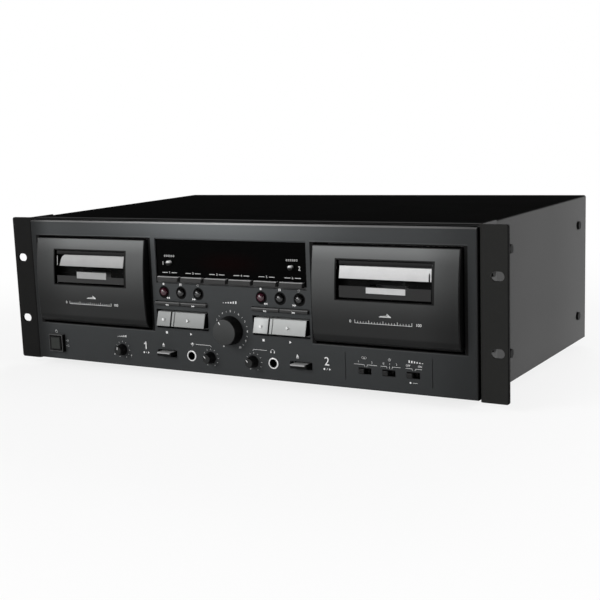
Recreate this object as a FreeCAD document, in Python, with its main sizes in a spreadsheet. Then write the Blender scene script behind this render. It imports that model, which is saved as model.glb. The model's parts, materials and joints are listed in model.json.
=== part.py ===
import FreeCAD, Part
import math
import os
import Sketcher

# Double cassette deck for a 19 inch rack, three units high.
# Millimetres. +X is right seen from the front, the front looks along -Y, +Z is up.
# The origin is under the middle of the deck, at the underside of its feet.

SHEET_NAME = "Sizes"

# Driving dimensions, one sheet cell each.
DIMENSIONS = {
    # rack format
    "ear_span": 482.6,
    "ear_height": 132.5,
    "ear_sheet": 2.0,
    "ear_bend": 3.0,
    "ear_flange_depth": 31.0,
    "ear_corner": 2.0,
    "ear_reach": 22.9,
    "ear_rise": 0.5,
    "rack_hole_inset": 8.75,
    "rack_hole_rise": 37.7,
    "rack_hole_pitch": 57.15,
    "rack_slot_length": 10.5,
    "rack_slot_radius": 3.6,
    "ear_drop": 1.0,
    "foot_height": 6.5,
    "foot_radius": 17.0,
    "foot_inset_side": 48.0,
    "foot_inset_end": 40.0,
    # case
    "case_depth": 261.0,
    "cover_sheet": 1.2,
    "cover_bend": 2.0,
    "chassis_sheet": 1.0,
    "sheet_gap": 0.1,
    "front_lip_height": 6.0,
    "board_standoff": 8.0,
    "side_screw_front": 63.4,
    "side_screw_rear": 237.0,
    "side_screw_low": 24.6,
    "side_screw_high": 106.9,
    "screw_radius": 1.7,
    "screw_clearance": 0.1,
    "screw_reach": 7.0,
    "screw_head_radius": 3.6,
    "screw_head_height": 2.0,
    "ear_screw_setback": 21.0,
    # front panel
    "panel_side_gap": 0.4,
    "panel_top_gap": 2.0,
    "panel_lift": 0.2,
    "panel_proud": 2.0,
    "panel_thick": 6.0,
    "panel_chamfer": 1.2,
    "panel_back_gap": 0.2,
    # cassette doors
    "opening_side_margin": 10.0,
    "opening_top_margin": 13.9,
    "opening_rise": 35.7,
    "door_side_gap": 1.0,
    "door_top_gap": 1.0,
    "door_foot_gap": 1.6,
    "door_belly_proud": 7.8,
    "door_top_proud": 3.13,
    "door_belly_rise": 33.3,
    "door_band_rise": 9.8,
    "door_foot_proud": 0.7,
    "door_foot_radius": 9.0,
    "door_wall": 2.4,
    "door_side_wall": 2.0,
    "door_back_depth": 4.0,
    "door_edge": 0.8,
    "hinge_rise": 4.0,
    "hinge_depth": 2.0,
    "hinge_pin_radius": 1.2,
    "hinge_pin_length": 3.6,
    "hinge_clearance": 0.05,
    "window_width": 80.7,
    "window_height": 30.8,
    "window_rise": 53.2,
    "lens_thick": 1.5,
    "lens_margin": 2.0,
    "lens_gap": 0.05,
    "lens_setback": 0.35,
    "lens_clearance": 0.15,
    # cassette and holder
    "cassette_width": 100.4,
    "cassette_height": 63.8,
    "cassette_thick": 12.0,
    "cassette_hub_height": 34.1,
    "cassette_play": 0.5,
    "hub_rise": 46.0,
    "hub_pitch": 42.5,
    "holder_wall": 1.5,
    "holder_side_clearance": 0.5,
    "holder_top_gap": 2.6,
    "holder_shelf_width": 11.0,
    "view_width": 77.2,
    "view_height": 12.0,
    "view_rise": 19.8,
    "slit_width": 32.8,
    "slit_height": 5.3,
    # transport behind each door
    "frame_side_gap": 3.0,
    "frame_plate": 2.5,
    "frame_front_gap": 0.8,
    "frame_top_gap": 1.6,
    "frame_foot_gap": 1.5,
    "frame_depth": 34.0,
    "frame_side": 2.0,
    "spindle_shaft_radius": 1.5,
    "spindle_hub_radius": 3.1,
    "spindle_reach": 9.0,
    "spindle_fin": 1.3,
    "spindle_fin_thick": 1.2,
    "spindle_disc_radius": 8.0,
    "spindle_disc_thick": 3.0,
    "shaft_clearance": 0.05,
    "running_gap": 0.3,
    "capstan_offset": 32.0,
    "capstan_drop": 26.6,
    "capstan_radius": 1.25,
    "capstan_reach": 11.0,
    "flywheel_side_gap": 4.0,
    "flywheel_thick": 8.0,
    "flywheel_setback": 7.0,
    "motor_radius": 12.0,
    "motor_length": 22.0,
    "motor_offset": 40.0,
    "motor_drop": 23.0,
    "bridge_width": 76.0,
    "bridge_bar_height": 5.0,
    "bridge_middle": 50.0,
    "bridge_height": 14.0,
    "bridge_plate": 1.7,
    "bridge_rise": 3.2,
    "bridge_travel": 6.0,
    "guide_pin_radius": 1.2,
    "guide_pin_offset": 17.0,
    "guide_pin_margin": 1.5,
    "head_width": 12.0,
    "head_height": 8.4,
    "head_depth": 8.0,
    "roller_radius": 5.5,
    "roller_length": 7.0,
    # display and its keys
    "display_width": 149.6,
    "display_side_gap": 7.2,
    "display_top_gap": 0.4,
    "display_rise": 77.9,
    "display_recess": 1.5,
    "display_plate": 2.0,
    "display_ledge": 1.2,
    "display_bevel": 1.2,
    "display_key_count": 6,
    "display_key_margin": 1.3,
    "display_key_gap": 3.1,
    "display_key_height": 4.4,
    "display_key_rise": 1.7,
    "display_key_proud": 3.0,
    "display_key_bevel": 1.6,
    "key_clearance": 0.2,
    "reset_inset": 14.3,
    "reset_rise": 95.4,
    "reset_radius": 2.1,
    "reset_proud": 2.6,
    # round buttons
    "button_rise": 70.2,
    "button_radius": 3.4,
    "button_well_radius": 4.5,
    "button_well_depth": 1.6,
    "button_proud": 3.0,
    "button_dome": 1.9,
    "button_clearance": 0.1,
    "button_flange": 1.4,
    "flange_thick": 1.2,
    "press_travel": 1.2,
    "stem_radius": 1.5,
    "switch_height": 3.5,
    "switch_side": 6.0,
    # winding and transport keys
    "key_slot_inner": 22.4,
    "key_slot_overhang": 1.6,
    "winding_slot_rise": 58.5,
    "winding_slot_height": 3.6,
    "winding_key_height": 2.6,
    "winding_key_proud": 2.4,
    "winding_middle_gap": 0.9,
    "winding_side_gap": 0.4,
    "transport_slot_rise": 38.4,
    "transport_slot_height": 16.2,
    "transport_key_low": 2.5,
    "transport_key_height": 12.3,
    "transport_key_proud": 1.5,
    "transport_key_wedge": 3.4,
    "stop_key_width": 14.4,
    "stop_side_gap": 2.6,
    "play_side_gap": 1.4,
    "key_split": 0.9,
    "play_strip": 2.4,
    "play_groove_depth": 1.2,
    "key_edge": 0.4,
    # knobs
    "level_knob_rise": 40.6,
    "level_knob_radius": 11.0,
    "level_knob_base": 12.4,
    "level_knob_reach": 10.5,
    "small_knob_rise": 15.7,
    "small_knob_offset": 21.3,
    "small_knob_radius": 3.9,
    "small_knob_base": 5.2,
    "small_knob_reach": 8.0,
    "pitch_knob_shift": 28.0,
    "knob_gap": 0.5,
    "knob_edge": 0.8,
    "knob_shaft_radius": 3.0,
    "pot_radius": 8.0,
    "pot_length": 11.0,
    # jack sockets on the front
    "jack_offset": 41.1,
    "jack_bore_radius": 3.25,
    "jack_bore_depth": 20.0,
    "jack_ring_radius": 4.7,
    "jack_ring_proud": 0.7,
    "jack_barrel_radius": 4.4,
    "jack_end_wall": 1.0,
    # eject levers
    "eject_inset": 9.2,
    "eject_slot_width": 20.4,
    "eject_slot_height": 6.2,
    "eject_rise": 15.9,
    "eject_lever_width": 15.2,
    "eject_lever_height": 3.0,
    "eject_proud": 5.5,
    "eject_travel": 2.5,
    "latch_box_width": 24.0,
    "latch_box_height": 10.0,
    "latch_box_depth": 15.0,
    # power button
    "power_inset": 24.6,
    "power_rise": 16.8,
    "power_bezel_width": 16.6,
    "power_bezel_height": 16.0,
    "power_bezel_proud": 3.6,
    "power_button_side": 12.6,
    "power_proud": 4.3,
    "power_travel": 3.0,
    "power_switch_width": 14.0,
    "power_switch_depth": 22.0,
    # slide switches
    "slide_shift": 20.2,
    "slide_pitch": 20.6,
    "slide_rise": 16.2,
    "slide_slot_width": 10.5,
    "slide_slot_height": 4.3,
    "slide_cap_width": 4.4,
    "slide_cap_height": 3.7,
    "slide_cap_proud": 1.6,
    "slide_travel": 5.2,
    "groove_inner_shift": 37.2,
    "groove_outer_shift": 36.9,
    "groove_low": 7.5,
    "groove_high": 30.2,
    "groove_width": 0.8,
    "groove_depth": 0.5,
    # boards, transformer and rear connectors
    "control_board_reach": 5.2,
    "control_board_bottom": 27.0,
    "control_board_top": 114.0,
    "control_board_setback": 12.0,
    "board_thick": 1.6,
    "post_radius": 3.0,
    "tube_width": 90.0,
    "tube_height": 22.0,
    "tube_thick": 6.0,
    "main_board_width": 250.0,
    "main_board_depth": 170.0,
    "main_board_side": 75.0,
    "main_board_rear_gap": 12.0,
    "transformer_width": 78.0,
    "transformer_depth": 62.0,
    "transformer_height": 66.0,
    "transformer_inset": 88.4,
    "transformer_rear_gap": 60.0,
    "transformer_foot": 12.0,
    "transformer_foot_thick": 2.0,
    "jack_reach": 8.0,
    "line_jack_radius": 4.15,
    "line_jack_bore": 1.7,
    "line_jack_collar": 5.4,
    "collar_thick": 0.8,
    "line_jack_pitch": 18.0,
    "line_jack_row_pitch": 22.0,
    "line_jack_columns": 4,
    "line_jack_rows": 2,
    "line_jack_side": -120.0,
    "line_jack_rise": 60.0,
    "line_block_depth": 14.0,
    "line_block_margin": 8.0,
    "inlet_inset": 48.4,
    "inlet_rise": 40.0,
    "inlet_width": 28.0,
    "inlet_height": 20.5,
    "inlet_depth": 22.0,
    "inlet_flange": 3.0,
    "inlet_cut_gap": 2.0,
    "inlet_flange_thick": 2.0,
    "inlet_wall": 2.2,
    "inlet_socket_depth": 16.0,
    "inlet_pin_radius": 0.8,
    "inlet_pin_offset": 1.6,
    "inlet_pin_pitch": 7.0,
}

TIGHT = 1e-6


class Size:
    """A length that holds its value and the sheet expression that gives it."""

    def __init__(self, text, value):
        self.text = text
        self.value = value

    @staticmethod
    def of(other):
        if isinstance(other, Size):
            return other
        return Size(f"({float(other)!r})", float(other))

    def __add__(self, other):
        other = Size.of(other)
        return Size(f"({self.text} + {other.text})", self.value + other.value)

    def __radd__(self, other):
        return Size.of(other) + self

    def __sub__(self, other):
        other = Size.of(other)
        return Size(f"({self.text} - {other.text})", self.value - other.value)

    def __rsub__(self, other):
        return Size.of(other) - self

    def __mul__(self, other):
        other = Size.of(other)
        return Size(f"({self.text} * {other.text})", self.value * other.value)

    def __rmul__(self, other):
        return Size.of(other) * self

    def __truediv__(self, other):
        other = Size.of(other)
        return Size(f"({self.text} / {other.text})", self.value / other.value)

    def __neg__(self):
        return Size(f"(0 - {self.text})", -self.value)

    def root(self):
        return Size(f"sqrt{self.text}", math.sqrt(self.value))


class Sizes:
    """The driving dimensions as attributes."""

    def __init__(self, sheet):
        for row, (name, value) in enumerate(DIMENSIONS.items(), start=1):
            sheet.set(f"A{row}", name)
            sheet.set(f"B{row}", str(value))
            sheet.setAlias(f"B{row}", name)
            setattr(self, name, Size(f"({SHEET_NAME}.{name})", float(value)))


doc = FreeCAD.newDocument("double_cassette_deck")
sheet = doc.addObject("Spreadsheet::Sheet", SHEET_NAME)
S = Sizes(sheet)
doc.recompute()

nodes = {}


def node(label, thing):
    """Name a finished sub-part."""
    thing.Label = label
    nodes[label] = thing
    return thing


def bind(thing, path, size):
    """Tie one property to its sheet expression."""
    thing.setExpression(path, Size.of(size).text)


def vector(u, v):
    return FreeCAD.Vector(Size.of(u).value, Size.of(v).value, 0)


# Part primitives

AXIS_TURN = {
    "x": FreeCAD.Rotation(FreeCAD.Vector(0, 1, 0), 90),
    "y": FreeCAD.Rotation(FreeCAD.Vector(1, 0, 0), -90),
    "z": FreeCAD.Rotation(),
}


def place(thing, corner):
    for axis, size in zip("xyz", corner):
        bind(thing, f"Placement.Base.{axis}", size)


def block(name, xs, ys, zs):
    """A box between two values on each axis."""
    thing = doc.addObject("Part::Box", name)
    for path, span in (("Length", xs), ("Width", ys), ("Height", zs)):
        bind(thing, path, Size.of(span[1]) - span[0])
    place(thing, (xs[0], ys[0], zs[0]))
    return thing


def rod(name, axis, start, radius, length):
    """A cylinder that runs from start along +axis."""
    thing = doc.addObject("Part::Cylinder", name)
    bind(thing, "Radius", radius)
    bind(thing, "Height", length)
    thing.Placement = FreeCAD.Placement(FreeCAD.Vector(), AXIS_TURN[axis])
    place(thing, start)
    return thing


def cut(name, base, tool):
    thing = doc.addObject("Part::Cut", name)
    thing.Base = base
    thing.Tool = tool
    return thing


def fuse(name, things):
    thing = doc.addObject("Part::MultiFuse", name)
    thing.Shapes = things
    thing.Refine = True
    return thing


def group(name, things):
    thing = doc.addObject("Part::Compound", name)
    thing.Links = things
    return thing


# PartDesign bodies

PLANES = {"yz": "YZ_Plane", "xz": "XZ_Plane", "xy": "XY_Plane"}


def new_body(name):
    return doc.addObject("PartDesign::Body", name)


def new_sketch(body, plane, offset, origin=(0, 0)):
    """A sketch parallel to an origin plane of its body.

    yz sketches see (y, z) and face +X, xz sketches see (x, z) and face -Y,
    xy sketches see (x, y) and face +Z. The offset is the place on the third axis.
    """
    sketch = body.newObject("Sketcher::SketchObject", f"{body.Name}_outline")
    role = PLANES[plane]
    support = [part for part in body.Origin.OriginFeatures if part.Role == role][0]
    sketch.AttachmentSupport = [(support, "")]
    sketch.MapMode = "FlatFace"
    facing = -Size.of(offset) if plane == "xz" else Size.of(offset)
    bind(sketch, "AttachmentOffset.Base.x", origin[0])
    bind(sketch, "AttachmentOffset.Base.y", origin[1])
    bind(sketch, "AttachmentOffset.Base.z", facing)
    return sketch


def fix_point(sketch, edge, end, u, v):
    for kind, size in (("DistanceX", Size.of(u)), ("DistanceY", Size.of(v))):
        index = sketch.addConstraint(Sketcher.Constraint(kind, -1, 1, edge, end, size.value))
        sketch.setExpression(f"Constraints[{index}]", size.text)


def fix_radius(sketch, edge, radius):
    index = sketch.addConstraint(Sketcher.Constraint("Radius", edge, radius.value))
    sketch.setExpression(f"Constraints[{index}]", radius.text)


def arc_edge(sketch, start, end, centre, radius):
    """Add an arc from start to end the short way round, and say which end is which."""
    middle = vector(*centre)
    first = vector(*start[:2]) - middle
    last = vector(*end[:2]) - middle
    forward = first.x * last.y - first.y * last.x > 0
    low, high = (first, last) if forward else (last, first)
    angle_low = math.atan2(low.y, low.x)
    angle_high = math.atan2(high.y, high.x)
    if angle_high < angle_low:
        angle_high += 2 * math.pi
    circle = Part.Circle(middle, FreeCAD.Vector(0, 0, 1), radius.value)
    edge = sketch.addGeometry(Part.ArcOfCircle(circle, angle_low, angle_high))
    fix_radius(sketch, edge, radius)
    return edge, (1, 2) if forward else (2, 1)


def outline(sketch, points):
    """Draw a closed outline.

    A point is (u, v), or (u, v, centre, radius) where an arc leads on to the next point.
    """
    edges = []
    for index, start in enumerate(points):
        end = points[(index + 1) % len(points)]
        if len(start) == 4:
            edges.append(arc_edge(sketch, start, end, start[2], Size.of(start[3])))
        else:
            line = Part.LineSegment(vector(*start[:2]), vector(*end[:2]))
            edges.append((sketch.addGeometry(line), (1, 2)))
    for index, (edge, ends) in enumerate(edges):
        after, after_ends = edges[(index + 1) % len(edges)]
        sketch.addConstraint(Sketcher.Constraint("Coincident", edge, ends[1], after, after_ends[0]))
    for (edge, ends), start in zip(edges, points):
        fix_point(sketch, edge, ends[0], start[0], start[1])


def rectangle(sketch, us, vs):
    outline(sketch, [(us[0], vs[0]), (us[1], vs[0]), (us[1], vs[1]), (us[0], vs[1])])


def circle(sketch, u, v, radius):
    radius = Size.of(radius)
    shape = Part.Circle(vector(u, v), FreeCAD.Vector(0, 0, 1), radius.value)
    edge = sketch.addGeometry(shape)
    fix_point(sketch, edge, 3, u, v)
    fix_radius(sketch, edge, radius)


def oblong(sketch, u, v, length, radius):
    """A slotted hole, its long way along u."""
    half = Size.of(length) / 2 - radius
    u, v = Size.of(u), Size.of(v)
    right = (u + half, v)
    left = (u - half, v)
    outline(sketch, [
        (u - half, v - radius),
        (u + half, v - radius, right, radius),
        (u + half + radius, v, right, radius),
        (u + half, v + radius),
        (u - half, v + radius, left, radius),
        (u - half - radius, v, left, radius),
    ])


def pad(body, sketch, length, both_ways=False, reverse=False):
    feature = body.newObject("PartDesign::Pad", f"{body.Name}_pad")
    feature.Profile = sketch
    bind(feature, "Length", length)
    feature.Midplane = both_ways
    feature.Reversed = reverse
    return feature


def pocket(body, sketch, depth, both_ways=False, reverse=False):
    feature = body.newObject("PartDesign::Pocket", f"{body.Name}_pocket")
    feature.Profile = sketch
    bind(feature, "Length", depth)
    feature.Midplane = both_ways
    feature.Reversed = reverse
    return feature


def revolve(body, sketch):
    """Turn a (y, radius) outline about the line through the sketch's own origin."""
    feature = body.newObject("PartDesign::Revolution", f"{body.Name}_turned")
    feature.Profile = sketch
    feature.ReferenceAxis = (sketch, ["H_Axis"])
    feature.Angle = 360
    return feature


def chosen_edges(shape, wanted):
    return [f"Edge{i}" for i, edge in enumerate(shape.Edges, start=1) if wanted(edge)]


def ease(body, kind, size, wanted):
    """Round or chamfer the edges of the body that the test picks."""
    doc.recompute()
    base = body.Tip
    feature = body.newObject(f"PartDesign::{kind}", f"{body.Name}_edges")
    feature.Base = (base, chosen_edges(base.Shape, wanted))
    bind(feature, "Radius" if kind == "Fillet" else "Size", size)
    return feature


def level(edge, axis, size):
    """True where a whole edge lies at one value of an axis."""
    box = edge.BoundBox
    low = getattr(box, f"{axis}Min")
    high = getattr(box, f"{axis}Max")
    return abs(low - size.value) < TIGHT and abs(high - size.value) < TIGHT


def runs_along(edge, axis):
    box = edge.BoundBox
    spans = {"X": box.XLength, "Y": box.YLength, "Z": box.ZLength}
    return spans.pop(axis) > TIGHT and max(spans.values()) < TIGHT


# Places that follow from the driving dimensions

base_z = S.foot_height
rack_z = base_z - S.ear_drop
ear_y = (S.level_knob_reach + S.panel_proud - S.case_depth - S.jack_reach) / 2
panel_y = ear_y - S.panel_proud
panel_back = panel_y + S.panel_thick
rear_y = ear_y + S.case_depth
half_case = S.ear_span / 2 - S.ear_reach
rack_hole_span = S.ear_span - 2 * S.rack_hole_inset
inner_case = half_case - S.cover_sheet - S.sheet_gap
cover_top = rack_z + S.ear_height - S.ear_rise
cover_front = panel_back + S.panel_back_gap
floor_top = base_z + S.chassis_sheet
panel_half = half_case - S.panel_side_gap
inlet_x = half_case - S.inlet_inset
transformer_x = half_case - S.transformer_inset
panel_bottom = base_z + S.panel_lift
panel_top = cover_top - S.panel_top_gap

display_half = S.display_width / 2
opening_width = panel_half - S.opening_side_margin - display_half - S.display_side_gap
deck_offset = display_half + S.display_side_gap + opening_width / 2
opening_bottom = rack_z + S.opening_rise
opening_top = panel_top - S.opening_top_margin
hinge_y = panel_y + S.hinge_depth
hinge_z = opening_bottom + S.hinge_rise
door_bottom = opening_bottom + S.door_foot_gap
door_top = opening_top - S.door_top_gap
door_back = panel_y + S.door_back_depth
door_half = opening_width / 2 - S.door_side_gap
belly_z = opening_bottom + S.door_belly_rise
band_z = opening_bottom + S.door_band_rise
face_rise = door_top - belly_z
face_fall = S.door_belly_proud - S.door_top_proud
face_radius = (face_rise * face_rise + face_fall * face_fall) / (2 * face_fall)
face_centre_y = panel_y - S.door_belly_proud + face_radius
window_z = opening_bottom + S.window_rise

hub_z = opening_bottom + S.hub_rise
cassette_bottom = hub_z - S.cassette_hub_height
cassette_top = cassette_bottom + S.cassette_height
holder_front = door_back
holder_inner = holder_front + S.holder_wall
cassette_back = holder_inner + S.cassette_thick + S.cassette_play
plate_y = cassette_back + S.frame_front_gap
plate_back = plate_y + S.frame_plate
frame_half = opening_width / 2 - S.frame_side_gap
capstan_z = hub_z - S.capstan_drop
flywheel_radius = frame_half - S.frame_side - S.capstan_offset - S.flywheel_side_gap
flywheel_y = plate_back + S.flywheel_setback

display_bottom = rack_z + S.display_rise
display_top = opening_top - S.display_top_gap
display_key_pitch = (S.display_width - 2 * S.display_key_margin) / S.display_key_count
display_key_width = display_key_pitch - S.display_key_gap
lens_y = panel_y + S.display_recess
lens_back = lens_y + S.display_plate
display_key_z = display_bottom + S.display_key_rise
reset_offset = display_half - S.reset_inset
reset_z = rack_z + S.reset_rise
button_z = rack_z + S.button_rise
button_hole = S.button_radius + S.button_clearance
key_slot_outer = display_half + S.key_slot_overhang
key_slot_width = key_slot_outer - S.key_slot_inner
winding_z = rack_z + S.winding_slot_rise
transport_z = rack_z + S.transport_slot_rise
level_knob_z = rack_z + S.level_knob_rise
small_knob_z = rack_z + S.small_knob_rise
shaft_hole = S.knob_shaft_radius + S.shaft_clearance
eject_offset = key_slot_outer - S.eject_inset
eject_z = rack_z + S.eject_rise
power_x = S.power_inset - panel_half
power_z = rack_z + S.power_rise
power_hole = S.power_button_side + 2 * S.key_clearance
slide_z = rack_z + S.slide_rise

flange_y = panel_back + S.running_gap
flange_end = flange_y + S.flange_thick
board_y = panel_back + S.control_board_setback
stem_end = board_y - S.switch_height - S.press_travel - S.running_gap

DECKS = {1: -1, 2: 1}
BUTTON_ORDER = {1: ("mute", "pause", "record"), 2: ("record", "pause", "mute")}
SLIDE_COUNT = 3


def between(middle, width):
    half = Size.of(width) / 2
    return (middle - half, middle + half)


def deck_x(deck):
    return deck_offset * DECKS[deck]


def slot_left(deck):
    """Left end of the key slots of a deck."""
    if DECKS[deck] < 0:
        return -key_slot_outer
    return S.key_slot_inner


def button_place(deck, index):
    """Middle of a round button; index 0 is the one nearest the middle of the panel."""
    pitch = key_slot_width / len(BUTTON_ORDER[deck])
    return (S.key_slot_inner + pitch * (index + 0.5)) * DECKS[deck]


def knob_places():
    return {
        "record_level_knob": (Size.of(0), level_knob_z),
        "mic_level_knob": (-S.small_knob_offset, small_knob_z),
        "phones_level_knob": (S.small_knob_offset, small_knob_z),
        "pitch_knob": (S.pitch_knob_shift - deck_offset, small_knob_z),
    }


def display_key_x(index):
    return (index - (S.display_key_count - 1) / 2) * display_key_pitch


def slide_slot_x(index):
    return deck_offset - S.slide_shift + S.slide_pitch * index


# Sheet metal of the case

def screw_places():
    """Height and depth of the screws that hold the cover, on each side."""
    depths = (ear_y + S.side_screw_front, ear_y + S.side_screw_rear)
    heights = (rack_z + S.side_screw_low, rack_z + S.side_screw_high)
    return [(depth, height) for depth in depths for height in heights]


def ear_screw_places():
    depth = ear_y + S.ear_screw_setback
    low = rack_z + S.rack_hole_rise
    return [(depth, low), (depth, low + S.rack_hole_pitch)]


def drill_sides(body):
    """Bore the screw holes through both side walls."""
    sketch = new_sketch(body, "yz", 0)
    for depth, height in screw_places() + ear_screw_places():
        circle(sketch, depth, height, S.screw_radius + S.screw_clearance)
    pocket(body, sketch, S.ear_span, both_ways=True)


def make_top_cover():
    body = new_body("cover")
    inner = half_case - S.cover_sheet
    sketch = new_sketch(body, "xz", rear_y)
    outline(sketch, [
        (-half_case, base_z), (-half_case, cover_top), (half_case, cover_top), (half_case, base_z),
        (inner, base_z), (inner, cover_top - S.cover_sheet), (-inner, cover_top - S.cover_sheet),
        (-inner, base_z),
    ])
    pad(body, sketch, rear_y - cover_front)

    def outer_corner(edge):
        side = level(edge, "X", half_case) or level(edge, "X", -half_case)
        return runs_along(edge, "Y") and level(edge, "Z", cover_top) and side

    ease(body, "Fillet", S.cover_bend, outer_corner)
    drill_sides(body)
    node("top_cover", body)


def line_jack_places():
    places = []
    for column in range(int(DIMENSIONS["line_jack_columns"])):
        for row in range(int(DIMENSIONS["line_jack_rows"])):
            x = S.line_jack_side + S.line_jack_pitch * column
            z = rack_z + S.line_jack_rise + S.line_jack_row_pitch * row
            places.append((x, z))
    return places


def make_chassis_pan():
    """Floor, side walls, rear wall and front lip of one folded sheet."""
    body = new_body("chassis")
    wall = inner_case - S.chassis_sheet
    wall_top = cover_top - S.cover_sheet - S.sheet_gap
    front = cover_front
    inlet_z = rack_z + S.inlet_rise

    section = new_sketch(body, "xz", rear_y)
    outline(section, [
        (-inner_case, base_z), (inner_case, base_z), (inner_case, wall_top), (wall, wall_top),
        (wall, floor_top), (-wall, floor_top), (-wall, wall_top), (-inner_case, wall_top),
    ])
    pad(body, section, rear_y - front)

    rear = new_sketch(body, "xz", rear_y)
    rectangle(rear, (-inner_case, inner_case), (base_z, wall_top))
    pad(body, rear, S.chassis_sheet)

    lip = new_sketch(body, "xz", front + S.chassis_sheet)
    rectangle(lip, (-wall, wall), (base_z, base_z + S.front_lip_height))
    pad(body, lip, S.chassis_sheet)

    holes = new_sketch(body, "xz", rear_y - S.chassis_sheet)
    for x, z in line_jack_places():
        circle(holes, x, z, S.line_jack_collar + S.sheet_gap)
    rectangle(
        holes,
        between(inlet_x, S.inlet_width + 2 * S.inlet_cut_gap),
        between(inlet_z, S.inlet_height + 2 * S.inlet_cut_gap),
    )
    pocket(body, holes, S.chassis_sheet)
    drill_sides(body)
    node("chassis_pan", body)


def make_rack_ear(label, side):
    """L-bracket: a slotted front plate and a flange along the side of the case."""
    body = new_body(label)
    outer = S.ear_span / 2 * side
    flange_in = (half_case + S.sheet_gap) * side
    flange_out = (half_case + S.sheet_gap + S.ear_sheet) * side
    bend_x = (half_case + S.sheet_gap + S.ear_bend) * side
    bend_y = ear_y + S.ear_bend
    plate_back_y = ear_y + S.ear_sheet
    tail = ear_y + S.ear_flange_depth
    centre = (bend_x, bend_y)

    section = new_sketch(body, "xy", rack_z)
    outline(section, [
        (outer, ear_y), (bend_x, ear_y, centre, S.ear_bend), (flange_in, bend_y), (flange_in, tail),
        (flange_out, tail), (flange_out, bend_y, centre, S.ear_bend - S.ear_sheet),
        (bend_x, plate_back_y), (outer, plate_back_y),
    ])
    pad(body, section, S.ear_height)

    def plate_corner(edge):
        return runs_along(edge, "Y") and level(edge, "X", outer)

    ease(body, "Fillet", S.ear_corner, plate_corner)

    slots = new_sketch(body, "xz", ear_y)
    low = rack_z + S.rack_hole_rise
    for height in (low, low + S.rack_hole_pitch):
        oblong(slots, rack_hole_span / 2 * side, height, S.rack_slot_length, S.rack_slot_radius)
    pocket(body, slots, S.ear_sheet)

    drills = new_sketch(body, "yz", flange_in)
    for depth, height in ear_screw_places():
        circle(drills, depth, height, S.screw_radius + S.screw_clearance)
    pocket(body, drills, S.ear_sheet, reverse=side > 0)
    node(label, body)


def make_case_screws():
    """Pan-head screws of the cover and of the ears."""
    screws = []
    for side in (-1, 1):
        seats = [(half_case, at) for at in screw_places()]
        seats += [(half_case + S.sheet_gap + S.ear_sheet, at) for at in ear_screw_places()]
        for seat, (depth, height) in seats:
            head_start = seat if side > 0 else -seat - S.screw_head_height
            shank_start = seat - S.screw_reach if side > 0 else -seat
            head = rod("screw_head", "x", (head_start, depth, height),
                       S.screw_head_radius, S.screw_head_height)
            shank = rod("screw_shank", "x", (shank_start, depth, height),
                        S.screw_radius, S.screw_reach)
            screws.append(fuse("screw", [head, shank]))
    node("case_screws", group("case_screw_set", screws))


def make_feet():
    feet = []
    for side in (-1, 1):
        for depth in (cover_front + S.foot_inset_end, rear_y - S.foot_inset_end):
            middle = (half_case - S.foot_inset_side) * side
            feet.append(rod("foot", "z", (middle, depth, 0), S.foot_radius, S.foot_height))
    node("feet", group("foot_set", feet))


# Front panel

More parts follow.
